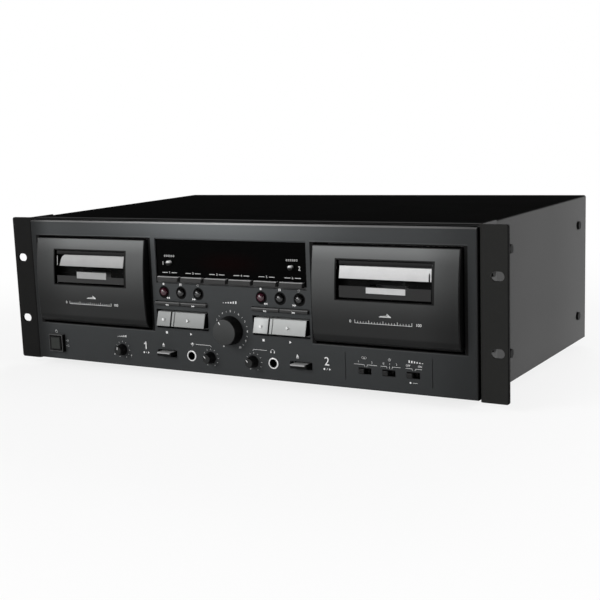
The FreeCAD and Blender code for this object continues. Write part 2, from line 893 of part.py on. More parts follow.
def make_front_panel():
    body = new_body("panel")
    sketch = new_sketch(body, "xz", panel_back)
    rectangle(sketch, (-panel_half, panel_half), (panel_bottom, panel_top))
    pad(body, sketch, S.panel_thick)

    ease(body, "Chamfer", S.panel_chamfer, lambda edge: level(edge, "Y", panel_y))

    bezel = new_sketch(body, "xz", panel_y)
    rectangle(bezel, between(power_x, S.power_bezel_width),
              between(power_z, S.power_bezel_height))
    pad(body, bezel, S.power_bezel_proud)

    through = new_sketch(body, "xz", panel_y)
    for deck in DECKS:
        left = slot_left(deck)
        rectangle(through, between(deck_x(deck), opening_width), (opening_bottom, opening_top))
        rectangle(through, (left, left + key_slot_width),
                  (winding_z, winding_z + S.winding_slot_height))
        rectangle(through, (left, left + key_slot_width),
                  (transport_z, transport_z + S.transport_slot_height))
        rectangle(through, between(eject_offset * DECKS[deck], S.eject_slot_width),
                  between(eject_z, S.eject_slot_height))
        circle(through, S.jack_offset * DECKS[deck], small_knob_z,
               S.jack_barrel_radius + S.shaft_clearance)
        for index in range(len(BUTTON_ORDER[deck])):
            circle(through, button_place(deck, index), button_z, button_hole)
    for x, z in knob_places().values():
        circle(through, x, z, shaft_hole)
    for index in range(SLIDE_COUNT):
        rectangle(through, between(slide_slot_x(index), S.slide_slot_width),
                  between(slide_z, S.slide_slot_height))
    rectangle(through, (S.display_ledge - display_half, display_half - S.display_ledge),
              (display_bottom + S.display_ledge, display_top - S.display_ledge))
    pocket(body, through, S.panel_thick)

    power = new_sketch(body, "xz", panel_y - S.power_bezel_proud)
    rectangle(power, between(power_x, power_hole), between(power_z, power_hole))
    pocket(body, power, S.panel_thick + S.power_bezel_proud)

    wells = new_sketch(body, "xz", panel_y)
    for deck in DECKS:
        for index in range(len(BUTTON_ORDER[deck])):
            circle(wells, button_place(deck, index), button_z, S.button_well_radius)
    pocket(body, wells, S.button_well_depth)

    frame = new_sketch(body, "xz", panel_y)
    rectangle(frame, between(Size.of(0), S.display_width + 2 * S.sheet_gap),
              (display_bottom - S.sheet_gap, display_top + S.sheet_gap))
    pocket(body, frame, S.display_recess + S.display_plate)

    grooves = new_sketch(body, "xz", panel_y)
    for x in (deck_offset - S.groove_inner_shift, deck_offset + S.groove_outer_shift):
        rectangle(grooves, between(x, S.groove_width), (rack_z + S.groove_low, rack_z + S.groove_high))
    pocket(body, grooves, S.groove_depth)

    for deck in DECKS:
        hinges = new_sketch(body, "yz", deck_x(deck))
        circle(hinges, hinge_y, hinge_z, S.hinge_pin_radius + S.hinge_clearance)
        pocket(body, hinges, 2 * (door_half + S.hinge_pin_length + S.running_gap), both_ways=True)

    upper_edge = display_top + S.sheet_gap
    ease(body, "Chamfer", S.display_bevel,
         lambda edge: level(edge, "Y", panel_y) and level(edge, "Z", upper_edge))
    ease(body, "Fillet", S.key_edge,
         lambda edge: level(edge, "Y", panel_y - S.power_bezel_proud))
    node("front_panel", body)


# Cassette doors

def face_y(height, inset):
    """Depth of a curve parallel to the door's face at a height."""
    radius = face_radius - inset
    rise = height - belly_z
    return face_centre_y - (radius * radius - rise * rise).root()


def face_point(height, inset):
    """A point of that curve, from which the outline goes on along it."""
    return (face_y(height, inset), height, (face_centre_y, belly_z), face_radius - inset)


def foot_centre(start, end, radius):
    """Middle of the arc of a given radius through two points, behind the door's face."""
    du = end[0] - start[0]
    dv = end[1] - start[1]
    chord = (du * du + dv * dv).root()
    reach = (radius * radius - chord * chord / 4).root()
    return ((start[0] + end[0]) / 2 - dv / chord * reach, (start[1] + end[1]) / 2 + du / chord * reach)


def make_door(deck):
    body = new_body(f"door_{deck}")
    x = deck_x(deck)
    band = (face_y(band_z, 0), band_z)
    foot = (panel_y - S.door_foot_proud, door_bottom)
    centre = foot_centre(band, foot, S.door_foot_radius)
    side = new_sketch(body, "yz", x)
    outline(side, [
        face_point(door_top, 0),
        (band[0], band[1], centre, S.door_foot_radius),
        foot, (door_back, door_bottom), (door_back, door_top),
    ])
    pad(body, side, 2 * door_half, both_ways=True)

    def face_edge(edge):
        ends = [vertex.Point.x for vertex in edge.Vertexes]
        at_side = all(abs(abs(end - x.value) - door_half.value) < TIGHT for end in ends)
        in_front = edge.BoundBox.YMax < panel_y.value and edge.BoundBox.ZLength > 1
        return at_side and in_front and not runs_along(edge, "X")

    def top_edge(edge):
        return runs_along(edge, "X") and level(edge, "Z", door_top) and edge.BoundBox.YMax < panel_y.value

    ease(body, "Fillet", S.door_edge, lambda edge: face_edge(edge) or top_edge(edge))

    cavity = new_sketch(body, "yz", x)
    roof = door_top - S.door_wall
    outline(cavity, [face_point(roof, S.door_wall), (face_y(band_z, S.door_wall), band_z),
                     (door_back, band_z), (door_back, roof)])
    pocket(body, cavity, 2 * (door_half - S.door_side_wall), both_ways=True)

    window = new_sketch(body, "xz", door_back)
    rectangle(window, between(x, S.window_width), between(window_z, S.window_height))
    pocket(body, window, S.door_belly_proud + S.door_back_depth, reverse=True)

    pins = new_sketch(body, "yz", x)
    circle(pins, hinge_y, hinge_z, S.hinge_pin_radius)
    pad(body, pins, 2 * (door_half + S.hinge_pin_length), both_ways=True)
    node(f"door_{deck}", body)


def make_door_window(deck):
    """Clear lens, curved like the door: a flange behind the door's wall and a boss that fills the window."""
    body = new_body(f"door_window_{deck}")
    low = window_z - S.window_height / 2 - S.lens_margin
    high = window_z + S.window_height / 2 + S.lens_margin
    near = S.door_wall + S.lens_gap
    far = near + S.lens_thick
    sketch = new_sketch(body, "yz", deck_x(deck))
    outline(sketch, [face_point(high, near), (face_y(low, near), low),
                     face_point(low, far), (face_y(high, far), high)])
    pad(body, sketch, S.window_width + 2 * S.lens_margin, both_ways=True)
    boss_low = window_z - S.window_height / 2 + S.lens_clearance
    boss_high = window_z + S.window_height / 2 - S.lens_clearance
    boss_back = near + S.lens_thick / 2
    boss = new_sketch(body, "yz", deck_x(deck))
    outline(boss, [face_point(boss_high, S.lens_setback), (face_y(boss_low, S.lens_setback), boss_low),
                   face_point(boss_low, boss_back), (face_y(boss_high, boss_back), boss_high)])
    pad(body, boss, S.window_width - 2 * S.lens_clearance, both_ways=True)
    node(f"door_window_{deck}", body)


def make_cassette_holder(deck):
    """Front wall behind the door, side channels and shelves for the cassette's lower corners."""
    body = new_body(f"cassette_holder_{deck}")
    x = deck_x(deck)
    half_wall = door_half - S.door_side_wall / 2
    bottom = hinge_z + S.hinge_pin_radius + S.hinge_clearance
    top = door_top - S.holder_top_gap
    channel_in = S.cassette_width / 2 + S.holder_side_clearance
    channel_out = channel_in + S.holder_wall
    view_top = hub_z + S.view_rise
    back = cassette_back

    wall = new_sketch(body, "xz", holder_inner)
    rectangle(wall, (x - half_wall, x + half_wall), (bottom, top))
    pad(body, wall, S.holder_wall)

    for side in (-1, 1):
        channel = new_sketch(body, "xz", back)
        rectangle(channel, (x + channel_in * side, x + channel_out * side),
                  (cassette_bottom - S.holder_wall, cassette_top))
        pad(body, channel, back - holder_inner)
        shelf = new_sketch(body, "xz", back)
        rectangle(shelf, (x + channel_out * side, x + (channel_out - S.holder_shelf_width) * side),
                  (cassette_bottom - S.holder_wall, cassette_bottom))
        pad(body, shelf, back - holder_inner)

    holes = new_sketch(body, "xz", holder_front)
    rectangle(holes, between(x, S.view_width), (view_top - S.view_height, view_top))
    rectangle(holes, between(x, S.slit_width), between(hub_z, S.slit_height))
    pocket(body, holes, S.holder_wall)
    node(f"cassette_holder_{deck}", body)


# Cassette transport

def bridge_bottom():
    return opening_bottom + S.bridge_rise


def guide_z():
    """Height of the guide pins, near the top of the bridge at rest."""
    return bridge_bottom() + S.bridge_height - S.guide_pin_radius - S.guide_pin_margin


def make_transport_frame(deck):
    """Face plate and side plates standing on the floor, with the door's latch box and the motor."""
    x = deck_x(deck)
    half = frame_half
    low = opening_bottom + S.frame_foot_gap
    high = opening_top - S.frame_top_gap
    rear = plate_y + S.frame_depth
    plate = block("plate", (x - half, x + half), (plate_y, plate_back), (low, high))
    sides = []
    for side in (-1, 1):
        edges = [x + half * side, x + (half - S.frame_side) * side]
        edges.sort(key=lambda size: size.value)
        sides.append(block("side", edges, (plate_y, rear), (floor_top, high)))
    bearing_low = capstan_z - flywheel_radius / 2
    bearing_high = capstan_z + flywheel_radius / 2
    bearing_y = flywheel_y + S.flywheel_thick + S.flywheel_setback
    bearing = block("bearing_plate", (x - half, x + half),
                    (bearing_y, bearing_y + S.frame_side), (bearing_low, bearing_high))
    pins = []
    for side in (-1, 1):
        start = (x + S.guide_pin_offset * side, plate_y - S.bridge_plate - S.running_gap * 2,
                 guide_z())
        pins.append(rod("guide_pin", "y", start, S.guide_pin_radius,
                        S.bridge_plate + S.running_gap * 2 + S.frame_plate))
    latch_y = flange_end + S.eject_travel + S.running_gap
    near_edge = x - half * DECKS[deck]
    latch_xs = [near_edge, near_edge - S.latch_box_width * DECKS[deck]]
    latch_xs.sort(key=lambda size: size.value)
    latch = block("latch_box", latch_xs, (latch_y, latch_y + S.latch_box_depth),
                  between(eject_z, S.latch_box_height))
    solid = fuse("frame_solid", [plate, bearing, latch] + sides + pins)
    bores = []
    for side in (-1, 1):
        bores.append(rod("spindle_bore", "y", (x + S.hub_pitch / 2 * side, plate_y, hub_z),
                         S.spindle_shaft_radius + S.shaft_clearance, S.frame_plate))
    bores.append(rod("capstan_bore", "y", (x + S.capstan_offset, plate_y, capstan_z),
                     S.capstan_radius + S.shaft_clearance, S.frame_depth))
    frame = cut("transport_frame", solid, group("frame_bores", bores))
    motor = rod("motor", "y", (x - S.motor_offset, plate_back, hub_z - S.motor_drop),
                S.motor_radius, S.motor_length)
    return [frame, motor]


def make_transport_frames():
    things = []
    for deck in DECKS:
        things += make_transport_frame(deck)
    node("transport_frames", group("transport_frame_set", things))


def make_spindle(label, x):
    """Reel spindle: shaft through the plate, disc behind it and three fins in front."""
    body = new_body(label)
    hub_back = plate_y - S.running_gap
    hub_front = plate_y - S.spindle_reach
    disc_front = plate_back + S.running_gap
    disc_back = disc_front + S.spindle_disc_thick
    sketch = new_sketch(body, "yz", x, origin=(0, hub_z))
    outline(sketch, [
        (hub_front, 0), (hub_front, S.spindle_hub_radius - S.knob_edge),
        (hub_front + S.knob_edge, S.spindle_hub_radius), (hub_back, S.spindle_hub_radius),
        (hub_back, S.spindle_shaft_radius), (disc_front, S.spindle_shaft_radius),
        (disc_front, S.spindle_disc_radius), (disc_back, S.spindle_disc_radius), (disc_back, 0),
    ])
    revolve(body, sketch)
    fin = new_sketch(body, "xz", hub_back, origin=(x, hub_z))
    rectangle(fin, between(Size.of(0), S.spindle_fin_thick), (0, S.spindle_hub_radius + S.spindle_fin))
    fin_pad = pad(body, fin, hub_back - hub_front - S.knob_edge)
    doc.recompute()
    fins = body.newObject("PartDesign::PolarPattern", f"{label}_fins")
    fins.Originals = [fin_pad]
    fins.Axis = (fin, ["N_Axis"])
    fins.Angle = 360
    fins.Occurrences = 3
    body.Tip = fins
    node(label, body)


def make_capstan(deck):
    """Capstan pin on its flywheel."""
    label = f"capstan_{deck}"
    body = new_body(label)
    x = deck_x(deck) + S.capstan_offset
    tip = plate_y - S.capstan_reach
    tail = flywheel_y + S.flywheel_thick + S.flywheel_setback + S.frame_side
    wheel_back = flywheel_y + S.flywheel_thick
    sketch = new_sketch(body, "yz", x, origin=(0, capstan_z))
    outline(sketch, [
        (tip, 0), (tip, S.capstan_radius), (flywheel_y, S.capstan_radius),
        (flywheel_y, flywheel_radius), (wheel_back, flywheel_radius),
        (wheel_back, S.capstan_radius), (tail, S.capstan_radius), (tail, 0),
    ])
    revolve(body, sketch)
    node(label, body)


def make_head_bridge(deck):
    """Sliding plate with the tape head in its middle and the pinch roller under the capstan."""
    x = deck_x(deck)
    low = bridge_bottom()
    high = low + S.bridge_height
    back = plate_y - S.running_gap
    front = back - S.bridge_plate
    bar = block("bridge_bar", between(x, S.bridge_width), (front, back), (low, low + S.bridge_bar_height))
    middle = block("bridge_middle", between(x, S.bridge_middle), (front, back), (low, high))
    plate = fuse("bridge_plate", [bar, middle])
    slots = []
    slot_radius = S.guide_pin_radius + S.shaft_clearance
    slot_low = guide_z() - S.bridge_travel
    for side in (-1, 1):
        pin_x = x + S.guide_pin_offset * side
        slots.append(rod("slot_end", "y", (pin_x, front, guide_z()), slot_radius, S.bridge_plate))
        slots.append(rod("slot_foot", "y", (pin_x, front, slot_low), slot_radius, S.bridge_plate))
        slots.append(block("slot_middle", (pin_x - slot_radius, pin_x + slot_radius),
                           (front, back), (slot_low, guide_z())))
    slotted = cut("bridge_slotted", plate, fuse("bridge_slots", slots))
    head = block("head", (x - S.head_width / 2, x + S.head_width / 2),
                 (front - S.head_depth, front), (low, low + S.head_height))
    roller_z = capstan_z - S.capstan_radius - S.roller_radius - S.bridge_travel - S.running_gap
    roller = rod("roller", "y", (x + S.capstan_offset, front - S.roller_length, roller_z),
                 S.roller_radius, S.roller_length)
    node(f"head_bridge_{deck}", fuse(f"head_bridge_solid_{deck}", [slotted, head, roller]))


# Display and its buttons

def make_display_window():
    """Smoked plate with slots for its keys and holes for the reset buttons."""
    body = new_body("display")
    sketch = new_sketch(body, "xz", lens_back)
    rectangle(sketch, (-display_half, display_half), (display_bottom, display_top))
    pad(body, sketch, S.display_plate)
    holes = new_sketch(body, "xz", lens_y)
    for index in range(int(DIMENSIONS["display_key_count"])):
        rectangle(holes, between(display_key_x(index), display_key_width + 2 * S.key_clearance),
                  (display_key_z - S.key_clearance,
                   display_key_z + S.display_key_height + S.key_clearance))
    for side in (-1, 1):
        circle(holes, reset_offset * side, reset_z, S.reset_radius + S.button_clearance)
    pocket(body, holes, S.display_plate)
    node("display_window", body)


def add_stem(body, x, z, start):
    """Push rod from the back of a key to just short of its switch."""
    sketch = new_sketch(body, "xz", stem_end)
    circle(sketch, x, z, S.stem_radius)
    pad(body, sketch, stem_end - start + S.flange_thick / 2)


def make_display_key(index):
    label = f"display_key_{index + 1}"
    body = new_body(label)
    xs = between(display_key_x(index), display_key_width)
    top = display_key_z + S.display_key_height
    front = panel_y - S.display_key_proud
    back = lens_back + S.running_gap
    end = back + S.flange_thick
    side = new_sketch(body, "yz", xs[0])
    outline(side, [
        (front, display_key_z), (front, top - S.display_key_bevel), (front + S.display_key_bevel, top),
        (back, top), (back, top + S.button_flange), (end, top + S.button_flange), (end, display_key_z),
    ])
    pad(body, side, display_key_width)
    add_stem(body, display_key_x(index), display_key_z + S.display_key_height / 2, back)
    ease(body, "Fillet", S.key_edge, lambda edge: level(edge, "Y", front))
    node(label, body)


def make_push_button(label, x, z, radius, proud, dome, flange_front):
    """Domed round button with a flange that keeps it behind its hole."""
    body = new_body(label)
    tip = panel_y - proud
    rim = tip + dome
    sphere = (radius * radius + dome * dome) / (2 * dome)
    sketch = new_sketch(body, "yz", x, origin=(0, z))
    outline(sketch, [
        (tip, 0, (tip + sphere, 0), sphere), (rim, radius), (flange_front, radius),
        (flange_front, radius + S.button_flange),
        (flange_front + S.flange_thick, radius + S.button_flange),
        (flange_front + S.flange_thick, S.stem_radius), (stem_end, S.stem_radius), (stem_end, 0),
    ])
    revolve(body, sketch)
    node(label, body)


def make_round_buttons():
    for deck, names in BUTTON_ORDER.items():
        for name in names:
            index = BUTTON_ORDER[2].index(name)
            place_index = index if DECKS[deck] > 0 else len(names) - 1 - index
            make_push_button(f"{name}_button_{deck}", button_place(deck, place_index), button_z,
                             S.button_radius, S.button_proud, S.button_dome, flange_y)
    for deck, side in DECKS.items():
        make_push_button(f"reset_button_{deck}", reset_offset * side, reset_z, S.reset_radius,
                         S.reset_proud, S.reset_radius / 2, lens_back + S.running_gap)


# Keys

def make_key(label, xs, zs, proud_top, proud_bottom, slot):
    """Push key: cap through its slot, flange behind the panel, stem to the switch."""
    body = new_body(label)
    middle = (xs[0] + xs[1]) / 2
    lip = S.button_flange
    front = panel_y - proud_bottom
    side = new_sketch(body, "yz", xs[0])
    outline(side, [
        (panel_y - proud_top, zs[1]), (front, zs[0]), (flange_y, zs[0]), (flange_y, slot[0] - lip),
        (flange_end, slot[0] - lip), (flange_end, slot[1] + lip), (flange_y, slot[1] + lip),
        (flange_y, zs[1]),
    ])
    pad(body, side, xs[1] - xs[0])
    add_stem(body, middle, (zs[0] + zs[1]) / 2, flange_y)

    def front_edge(edge):
        ends = [vertex.Point for vertex in edge.Vertexes]
        return all(point.y < panel_y.value - TIGHT for point in ends)

    ease(body, "Fillet", S.key_edge, front_edge)
    return body


def winding_key_spans(deck):
    """Width of the two winding keys of a deck, and their common height."""
    left = slot_left(deck)
    zs = between(winding_z + S.winding_slot_height / 2, S.winding_key_height)
    width = (key_slot_width - S.winding_middle_gap) / 2 - S.winding_side_gap
    rewind = left + S.winding_side_gap
    forward = rewind + width + S.winding_middle_gap
    return {"rewind": (rewind, rewind + width), "forward": (forward, forward + width)}, zs


def transport_key_spans(deck):
    """Width of the stop and play keys of a deck, and their common height."""
    left = slot_left(deck)
    low = transport_z + S.transport_key_low
    stop = left + S.stop_side_gap
    play = stop + S.stop_key_width + S.key_split
    spans = {"stop": (stop, stop + S.stop_key_width),
             "play": (play, left + key_slot_width - S.play_side_gap)}
    return spans, (low, low + S.transport_key_height)


def make_winding_keys(deck):
    slot = (winding_z, winding_z + S.winding_slot_height)
    spans, zs = winding_key_spans(deck)
    for name, xs in spans.items():
        label = f"{name}_key_{deck}"
        proud = S.winding_key_proud
        node(label, make_key(label, xs, zs, proud, proud, slot))


def make_transport_keys(deck):
    slot = (transport_z, transport_z + S.transport_slot_height)
    spans, zs = transport_key_spans(deck)
    upper = panel_y - S.transport_key_proud
    lower = upper - S.transport_key_wedge
    for name, xs in spans.items():
        label = f"{name}_key_{deck}"
        body = make_key(label, xs, zs, S.transport_key_proud,
                        S.transport_key_proud + S.transport_key_wedge, slot)
        if name == "play":
            groove = new_sketch(body, "yz", xs[0] + S.play_strip)
            deep = S.play_groove_depth
            outline(groove, [
                (upper - deep, zs[1] + deep), (lower - deep * 2, zs[0] - deep),
                (lower + deep, zs[0] - deep), (upper + deep, zs[1] + deep),
            ])
            pocket(body, groove, S.key_split, reverse=True)
        node(label, body)


def make_eject_lever(deck):
    label = f"eject_lever_{deck}"
    body = new_body(label)
    xs = between(eject_offset * DECKS[deck], S.eject_lever_width)
    zs = between(eject_z, S.eject_lever_height)
    lip_z = between(eject_z, S.eject_slot_height + 2 * S.button_flange)
    front = panel_y - S.eject_proud
    side = new_sketch(body, "yz", xs[0])
    outline(side, [
        (front, zs[0]), (front, zs[1]), (flange_y, zs[1]), (flange_y, lip_z[1]),
        (flange_end, lip_z[1]), (flange_end, lip_z[0]), (flange_y, lip_z[0]), (flange_y, zs[0]),
    ])
    pad(body, side, S.eject_lever_width)
    ease(body, "Fillet", S.knob_edge, lambda edge: level(edge, "Y", front))
    node(label, body)


def make_power_button():
    body = new_body("power")
    front = panel_y - S.power_proud
    back = flange_y + S.flange_thick
    cap = new_sketch(body, "xz", back)
    rectangle(cap, between(power_x, S.power_button_side), between(power_z, S.power_button_side))
    pad(body, cap, back - front)
    lip = new_sketch(body, "xz", back)
    lip_side = power_hole + 2 * S.button_flange
    rectangle(lip, between(power_x, lip_side), between(power_z, lip_side))
    pad(body, lip, S.flange_thick)
    ease(body, "Fillet", S.knob_edge, lambda edge: level(edge, "Y", front))
    node("power_button", body)


def make_slide_switch(index):
    """Slide cap at the left end of its slot."""
    label = f"slide_switch_{index + 1}"
    body = new_body(label)
    x = slide_slot_x(index) - S.slide_travel / 2
    front = panel_y - S.slide_cap_proud
    cap = new_sketch(body, "xz", flange_end)
    rectangle(cap, between(x, S.slide_cap_width), between(slide_z, S.slide_cap_height))
    pad(body, cap, flange_end - front)
    lip = new_sketch(body, "xz", flange_end)
    lip_width = S.slide_cap_width + 2 * S.button_flange
    lip_height = S.slide_slot_height + 2 * S.button_flange
    rectangle(lip, between(x, lip_width), between(slide_z, lip_height))
    pad(body, lip, S.flange_thick)
    ease(body, "Fillet", S.key_edge, lambda edge: level(edge, "Y", front))
    node(label, body)


# Knobs and jack sockets

def make_knob(label, x, z, radius, base_radius, reach):
    """Tapered knob with its shaft."""
    body = new_body(label)
    front = panel_y - reach
    back = panel_y - S.knob_gap
    shaft_end = panel_back + S.pot_length / 2
    edge = S.knob_edge
    sketch = new_sketch(body, "yz", x, origin=(0, z))
    outline(sketch, [
        (front, 0), (front, radius - edge, (front + edge, radius - edge), edge),
        (front + edge, radius), (back, base_radius), (back, S.knob_shaft_radius),
        (shaft_end, S.knob_shaft_radius), (shaft_end, 0),
    ])
    revolve(body, sketch)
    node(label, body)


def make_knobs():
    for label, (x, z) in knob_places().items():
        if label == "record_level_knob":
            make_knob(label, x, z, S.level_knob_radius, S.level_knob_base, S.level_knob_reach)
        else:
            make_knob(label, x, z, S.small_knob_radius, S.small_knob_base, S.small_knob_reach)


def make_front_jacks():
    """Two sockets for 6.35 mm plugs, each with a light ring."""
    jacks = []
    for side in DECKS.values():
        body = new_body("jack")
        front = panel_y - S.jack_ring_proud
        bore_end = front + S.jack_bore_depth
        sketch = new_sketch(body, "yz", S.jack_offset * side, origin=(0, small_knob_z))
        edge = S.key_edge
        outline(sketch, [
            (front + edge, S.jack_bore_radius), (front, S.jack_bore_radius + edge),
            (front, S.jack_ring_radius - edge, (front + edge, S.jack_ring_radius - edge), edge),
            (front + edge, S.jack_ring_radius),
            (panel_y, S.jack_ring_radius), (panel_y, S.jack_barrel_radius),
            (panel_back, S.jack_barrel_radius), (panel_back, S.pot_radius),
            (bore_end + S.jack_end_wall, S.pot_radius), (bore_end + S.jack_end_wall, 0),
            (bore_end, 0), (bore_end, S.jack_bore_radius),
        ])
        revolve(body, sketch)
        jacks.append(body)
    node("front_jacks", group("front_jack_set", jacks))


# Inside and rear

def make_circuit_boards():
    """Main board, control board with its switches and tube, the pots and the power switch."""
    things = []
    zero = Size.of(0)
    board_half = display_half + S.control_board_reach
    board_xs = (-board_half, board_half)
    board_zs = (rack_z + S.control_board_bottom, rack_z + S.control_board_top)
    board = block("control_board", board_xs, (board_y, board_y + S.board_thick), board_zs)
    parts = [board]
    for x in board_xs:
        inward = S.post_radius if x.value < 0 else -S.post_radius
        for z, lift in ((board_zs[0], S.post_radius), (board_zs[1], -S.post_radius)):
            parts.append(rod("post", "y", (x + inward, panel_back, z + lift),
                             S.post_radius, S.control_board_setback))
    presses = [(display_key_x(i), display_key_z + S.display_key_height / 2)
               for i in range(int(DIMENSIONS["display_key_count"]))]
    for deck, side in DECKS.items():
        presses.append((reset_offset * side, reset_z))
        presses += [(button_place(deck, i), button_z) for i in range(len(BUTTON_ORDER[deck]))]
        for spans, zs in (winding_key_spans(deck), transport_key_spans(deck)):
            presses += [((xs[0] + xs[1]) / 2, (zs[0] + zs[1]) / 2) for xs in spans.values()]
    for x, z in presses:
        parts.append(block("switch", between(x, S.switch_side), (board_y - S.switch_height, board_y),
                           between(z, S.switch_side)))
    tube_z = (display_key_z + S.display_key_height + display_top) / 2 + S.display_ledge
    parts.append(block("display_tube", between(zero, S.tube_width), (board_y - S.tube_thick, board_y),
                       between(tube_z, S.tube_height)))
    solid = fuse("control_solid", parts)
    hole = rod("shaft_hole", "y", (zero, board_y, level_knob_z), shaft_hole, S.board_thick)
    things.append(cut("control_board_done", solid, hole))
    for x, z in knob_places().values():
        can = rod("pot", "y", (x, panel_back, z), S.pot_radius, S.pot_length)
        bore = rod("pot_bore", "y", (x, panel_back, z), shaft_hole, S.pot_length / 2 + S.running_gap)
        things.append(cut("pot_done", can, bore))

    switch_y = flange_end + S.power_travel + S.running_gap
    things.append(block("power_switch", between(power_x, S.power_switch_width),
                        (switch_y, switch_y + S.power_switch_depth),
                        (floor_top, power_z + S.power_switch_width / 2)))

    main_y1 = rear_y - S.main_board_rear_gap
    main_y0 = main_y1 - S.main_board_depth
    main_xs = between(-S.main_board_side, S.main_board_width)
    deck_z = floor_top + S.board_standoff
    main = block("main_board", main_xs, (main_y0, main_y1), (deck_z, deck_z + S.board_thick))
    main_parts = [main]
    for x in (main_xs[0] + S.post_radius * 2, main_xs[1] - S.post_radius * 2):
        for y in (main_y0 + S.post_radius * 2, main_y1 - S.post_radius * 2):
            main_parts.append(rod("standoff", "z", (x, y, floor_top), S.post_radius, S.board_standoff))
    things.append(fuse("main_board_done", main_parts))
    node("circuit_boards", group("circuit_board_set", things))


def make_power_transformer():
    """Laminated core with its winding, on a bracket screwed to the floor."""
    x = transformer_x
    y1 = rear_y - S.transformer_rear_gap
    ys = (y1 - S.transformer_depth, y1)
    core_ys = between((ys[0] + ys[1]) / 2, S.transformer_depth / 2)
    coil_zs = (floor_top + S.transformer_foot, floor_top + S.transformer_height - S.transformer_foot)
    core_zs = (floor_top, floor_top + S.transformer_height)
    core = block("core", between(x, S.transformer_width), core_ys, core_zs)
    coil = block("coil", between(x, S.transformer_width * 2 / 3), ys, coil_zs)
    foot = block("foot_plate", between(x, S.transformer_width + 2 * S.transformer_foot), core_ys,
                 (floor_top, floor_top + S.transformer_foot_thick))
    node("power_transformer", fuse("transformer", [core, coil, foot]))


def make_line_jacks():
    """Block of phono sockets that stand out through the rear wall."""
    places = line_jack_places()
    wall = rear_y - S.chassis_sheet
    xs = (places[0][0] - S.line_block_margin, places[-1][0] + S.line_block_margin)
    zs = (places[0][1] - S.line_block_margin, places[-1][1] + S.line_block_margin)
    parts = [block("jack_block", xs, (wall - S.line_block_depth, wall), zs)]
    bores = []
    reach = S.jack_reach + S.chassis_sheet
    for x, z in places:
        parts.append(rod("jack_collar", "y", (x, wall, z), S.line_jack_collar,
                         S.chassis_sheet + S.collar_thick))
        parts.append(rod("jack_shell", "y", (x, wall, z), S.line_jack_radius, reach))
        bores.append(rod("jack_bore", "y", (x, wall, z), S.line_jack_bore, reach))
    node("line_jacks", cut("line_jack_solid", fuse("line_jack_block", parts), group("line_bores", bores)))


def make_mains_inlet():
    """Three-pin socket sunk in the rear wall."""
    x, z = inlet_x, rack_z + S.inlet_rise
    front = rear_y - S.inlet_depth
    outer = block("inlet_body", between(x, S.inlet_width), (front, rear_y), between(z, S.inlet_height))
    flange = block("inlet_flange", between(x, S.inlet_width + 2 * S.inlet_flange),
                   (rear_y, rear_y + S.inlet_flange_thick), between(z, S.inlet_height + 2 * S.inlet_flange))
    solid = fuse("inlet_solid", [outer, flange])
    socket = block("inlet_socket", between(x, S.inlet_width - 2 * S.inlet_wall),
                   (rear_y - S.inlet_socket_depth, rear_y + S.inlet_flange_thick),
                   between(z, S.inlet_height - 2 * S.inlet_wall))
    shell = cut("inlet_shell", solid, socket)
    pins = []
    pin_y = rear_y - S.inlet_socket_depth
    for side in (-1, 0, 1):
        pin_z = z + (S.inlet_pin_offset if side == 0 else -S.inlet_pin_offset)
        pins.append(rod("inlet_pin", "y", (x + S.inlet_pin_pitch * side, pin_y, pin_z),
                        S.inlet_pin_radius, S.inlet_socket_depth - S.inlet_flange))
    node("mains_inlet", fuse("inlet", [shell] + pins))


def build():
    make_top_cover()
    make_chassis_pan()
    make_rack_ear("rack_ear_left", -1)
    make_rack_ear("rack_ear_right", 1)
    make_case_screws()
    make_feet()
    make_front_panel()
    make_display_window()
    for index in range(int(DIMENSIONS["display_key_count"])):
        make_display_key(index)
    make_round_buttons()
    make_transport_frames()
    for deck in DECKS:
        make_door(deck)
        make_door_window(deck)
        make_cassette_holder(deck)
        make_spindle(f"supply_spindle_{deck}", deck_x(deck) - S.hub_pitch / 2)
        make_spindle(f"take_up_spindle_{deck}", deck_x(deck) + S.hub_pitch / 2)
        make_capstan(deck)
        make_head_bridge(deck)
        make_winding_keys(deck)
        make_transport_keys(deck)
        make_eject_lever(deck)
    make_power_button()
    for index in range(SLIDE_COUNT):
        make_slide_switch(index)
    make_knobs()
    make_front_jacks()
    make_circuit_boards()
    make_power_transformer()
    make_line_jacks()
    make_mains_inlet()


def check():
    """Stop on any failed object and on any sub-part that is empty or not valid."""
    for thing in doc.Objects:
        if "Invalid" in thing.State or "Error" in thing.State:
            raise RuntimeError(f"{thing.Label} failed: {thing.State}")
    for label, thing in nodes.items():
        if thing.Shape.isNull() or not thing.Shape.isValid() or not thing.Shape.Solids:
            raise RuntimeError(f"{label} has no valid solid")


def export():
    os.makedirs("parts", exist_ok=True)
    for label, thing in nodes.items():
        thing.Shape.exportStep(f"parts/{label}.step")
        print(label, len(thing.Shape.Solids), round(thing.Shape.Volume, 1))


build()
doc.recompute()
check()
export()
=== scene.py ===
"""Finishes, printed marks, small fittings and the studio of a rack-mount double cassette deck."""
import json
import logging
import math
from collections.abc import Callable
from dataclasses import dataclass
from enum import Enum

import bmesh
import bpy
from mathutils import Matrix, Vector

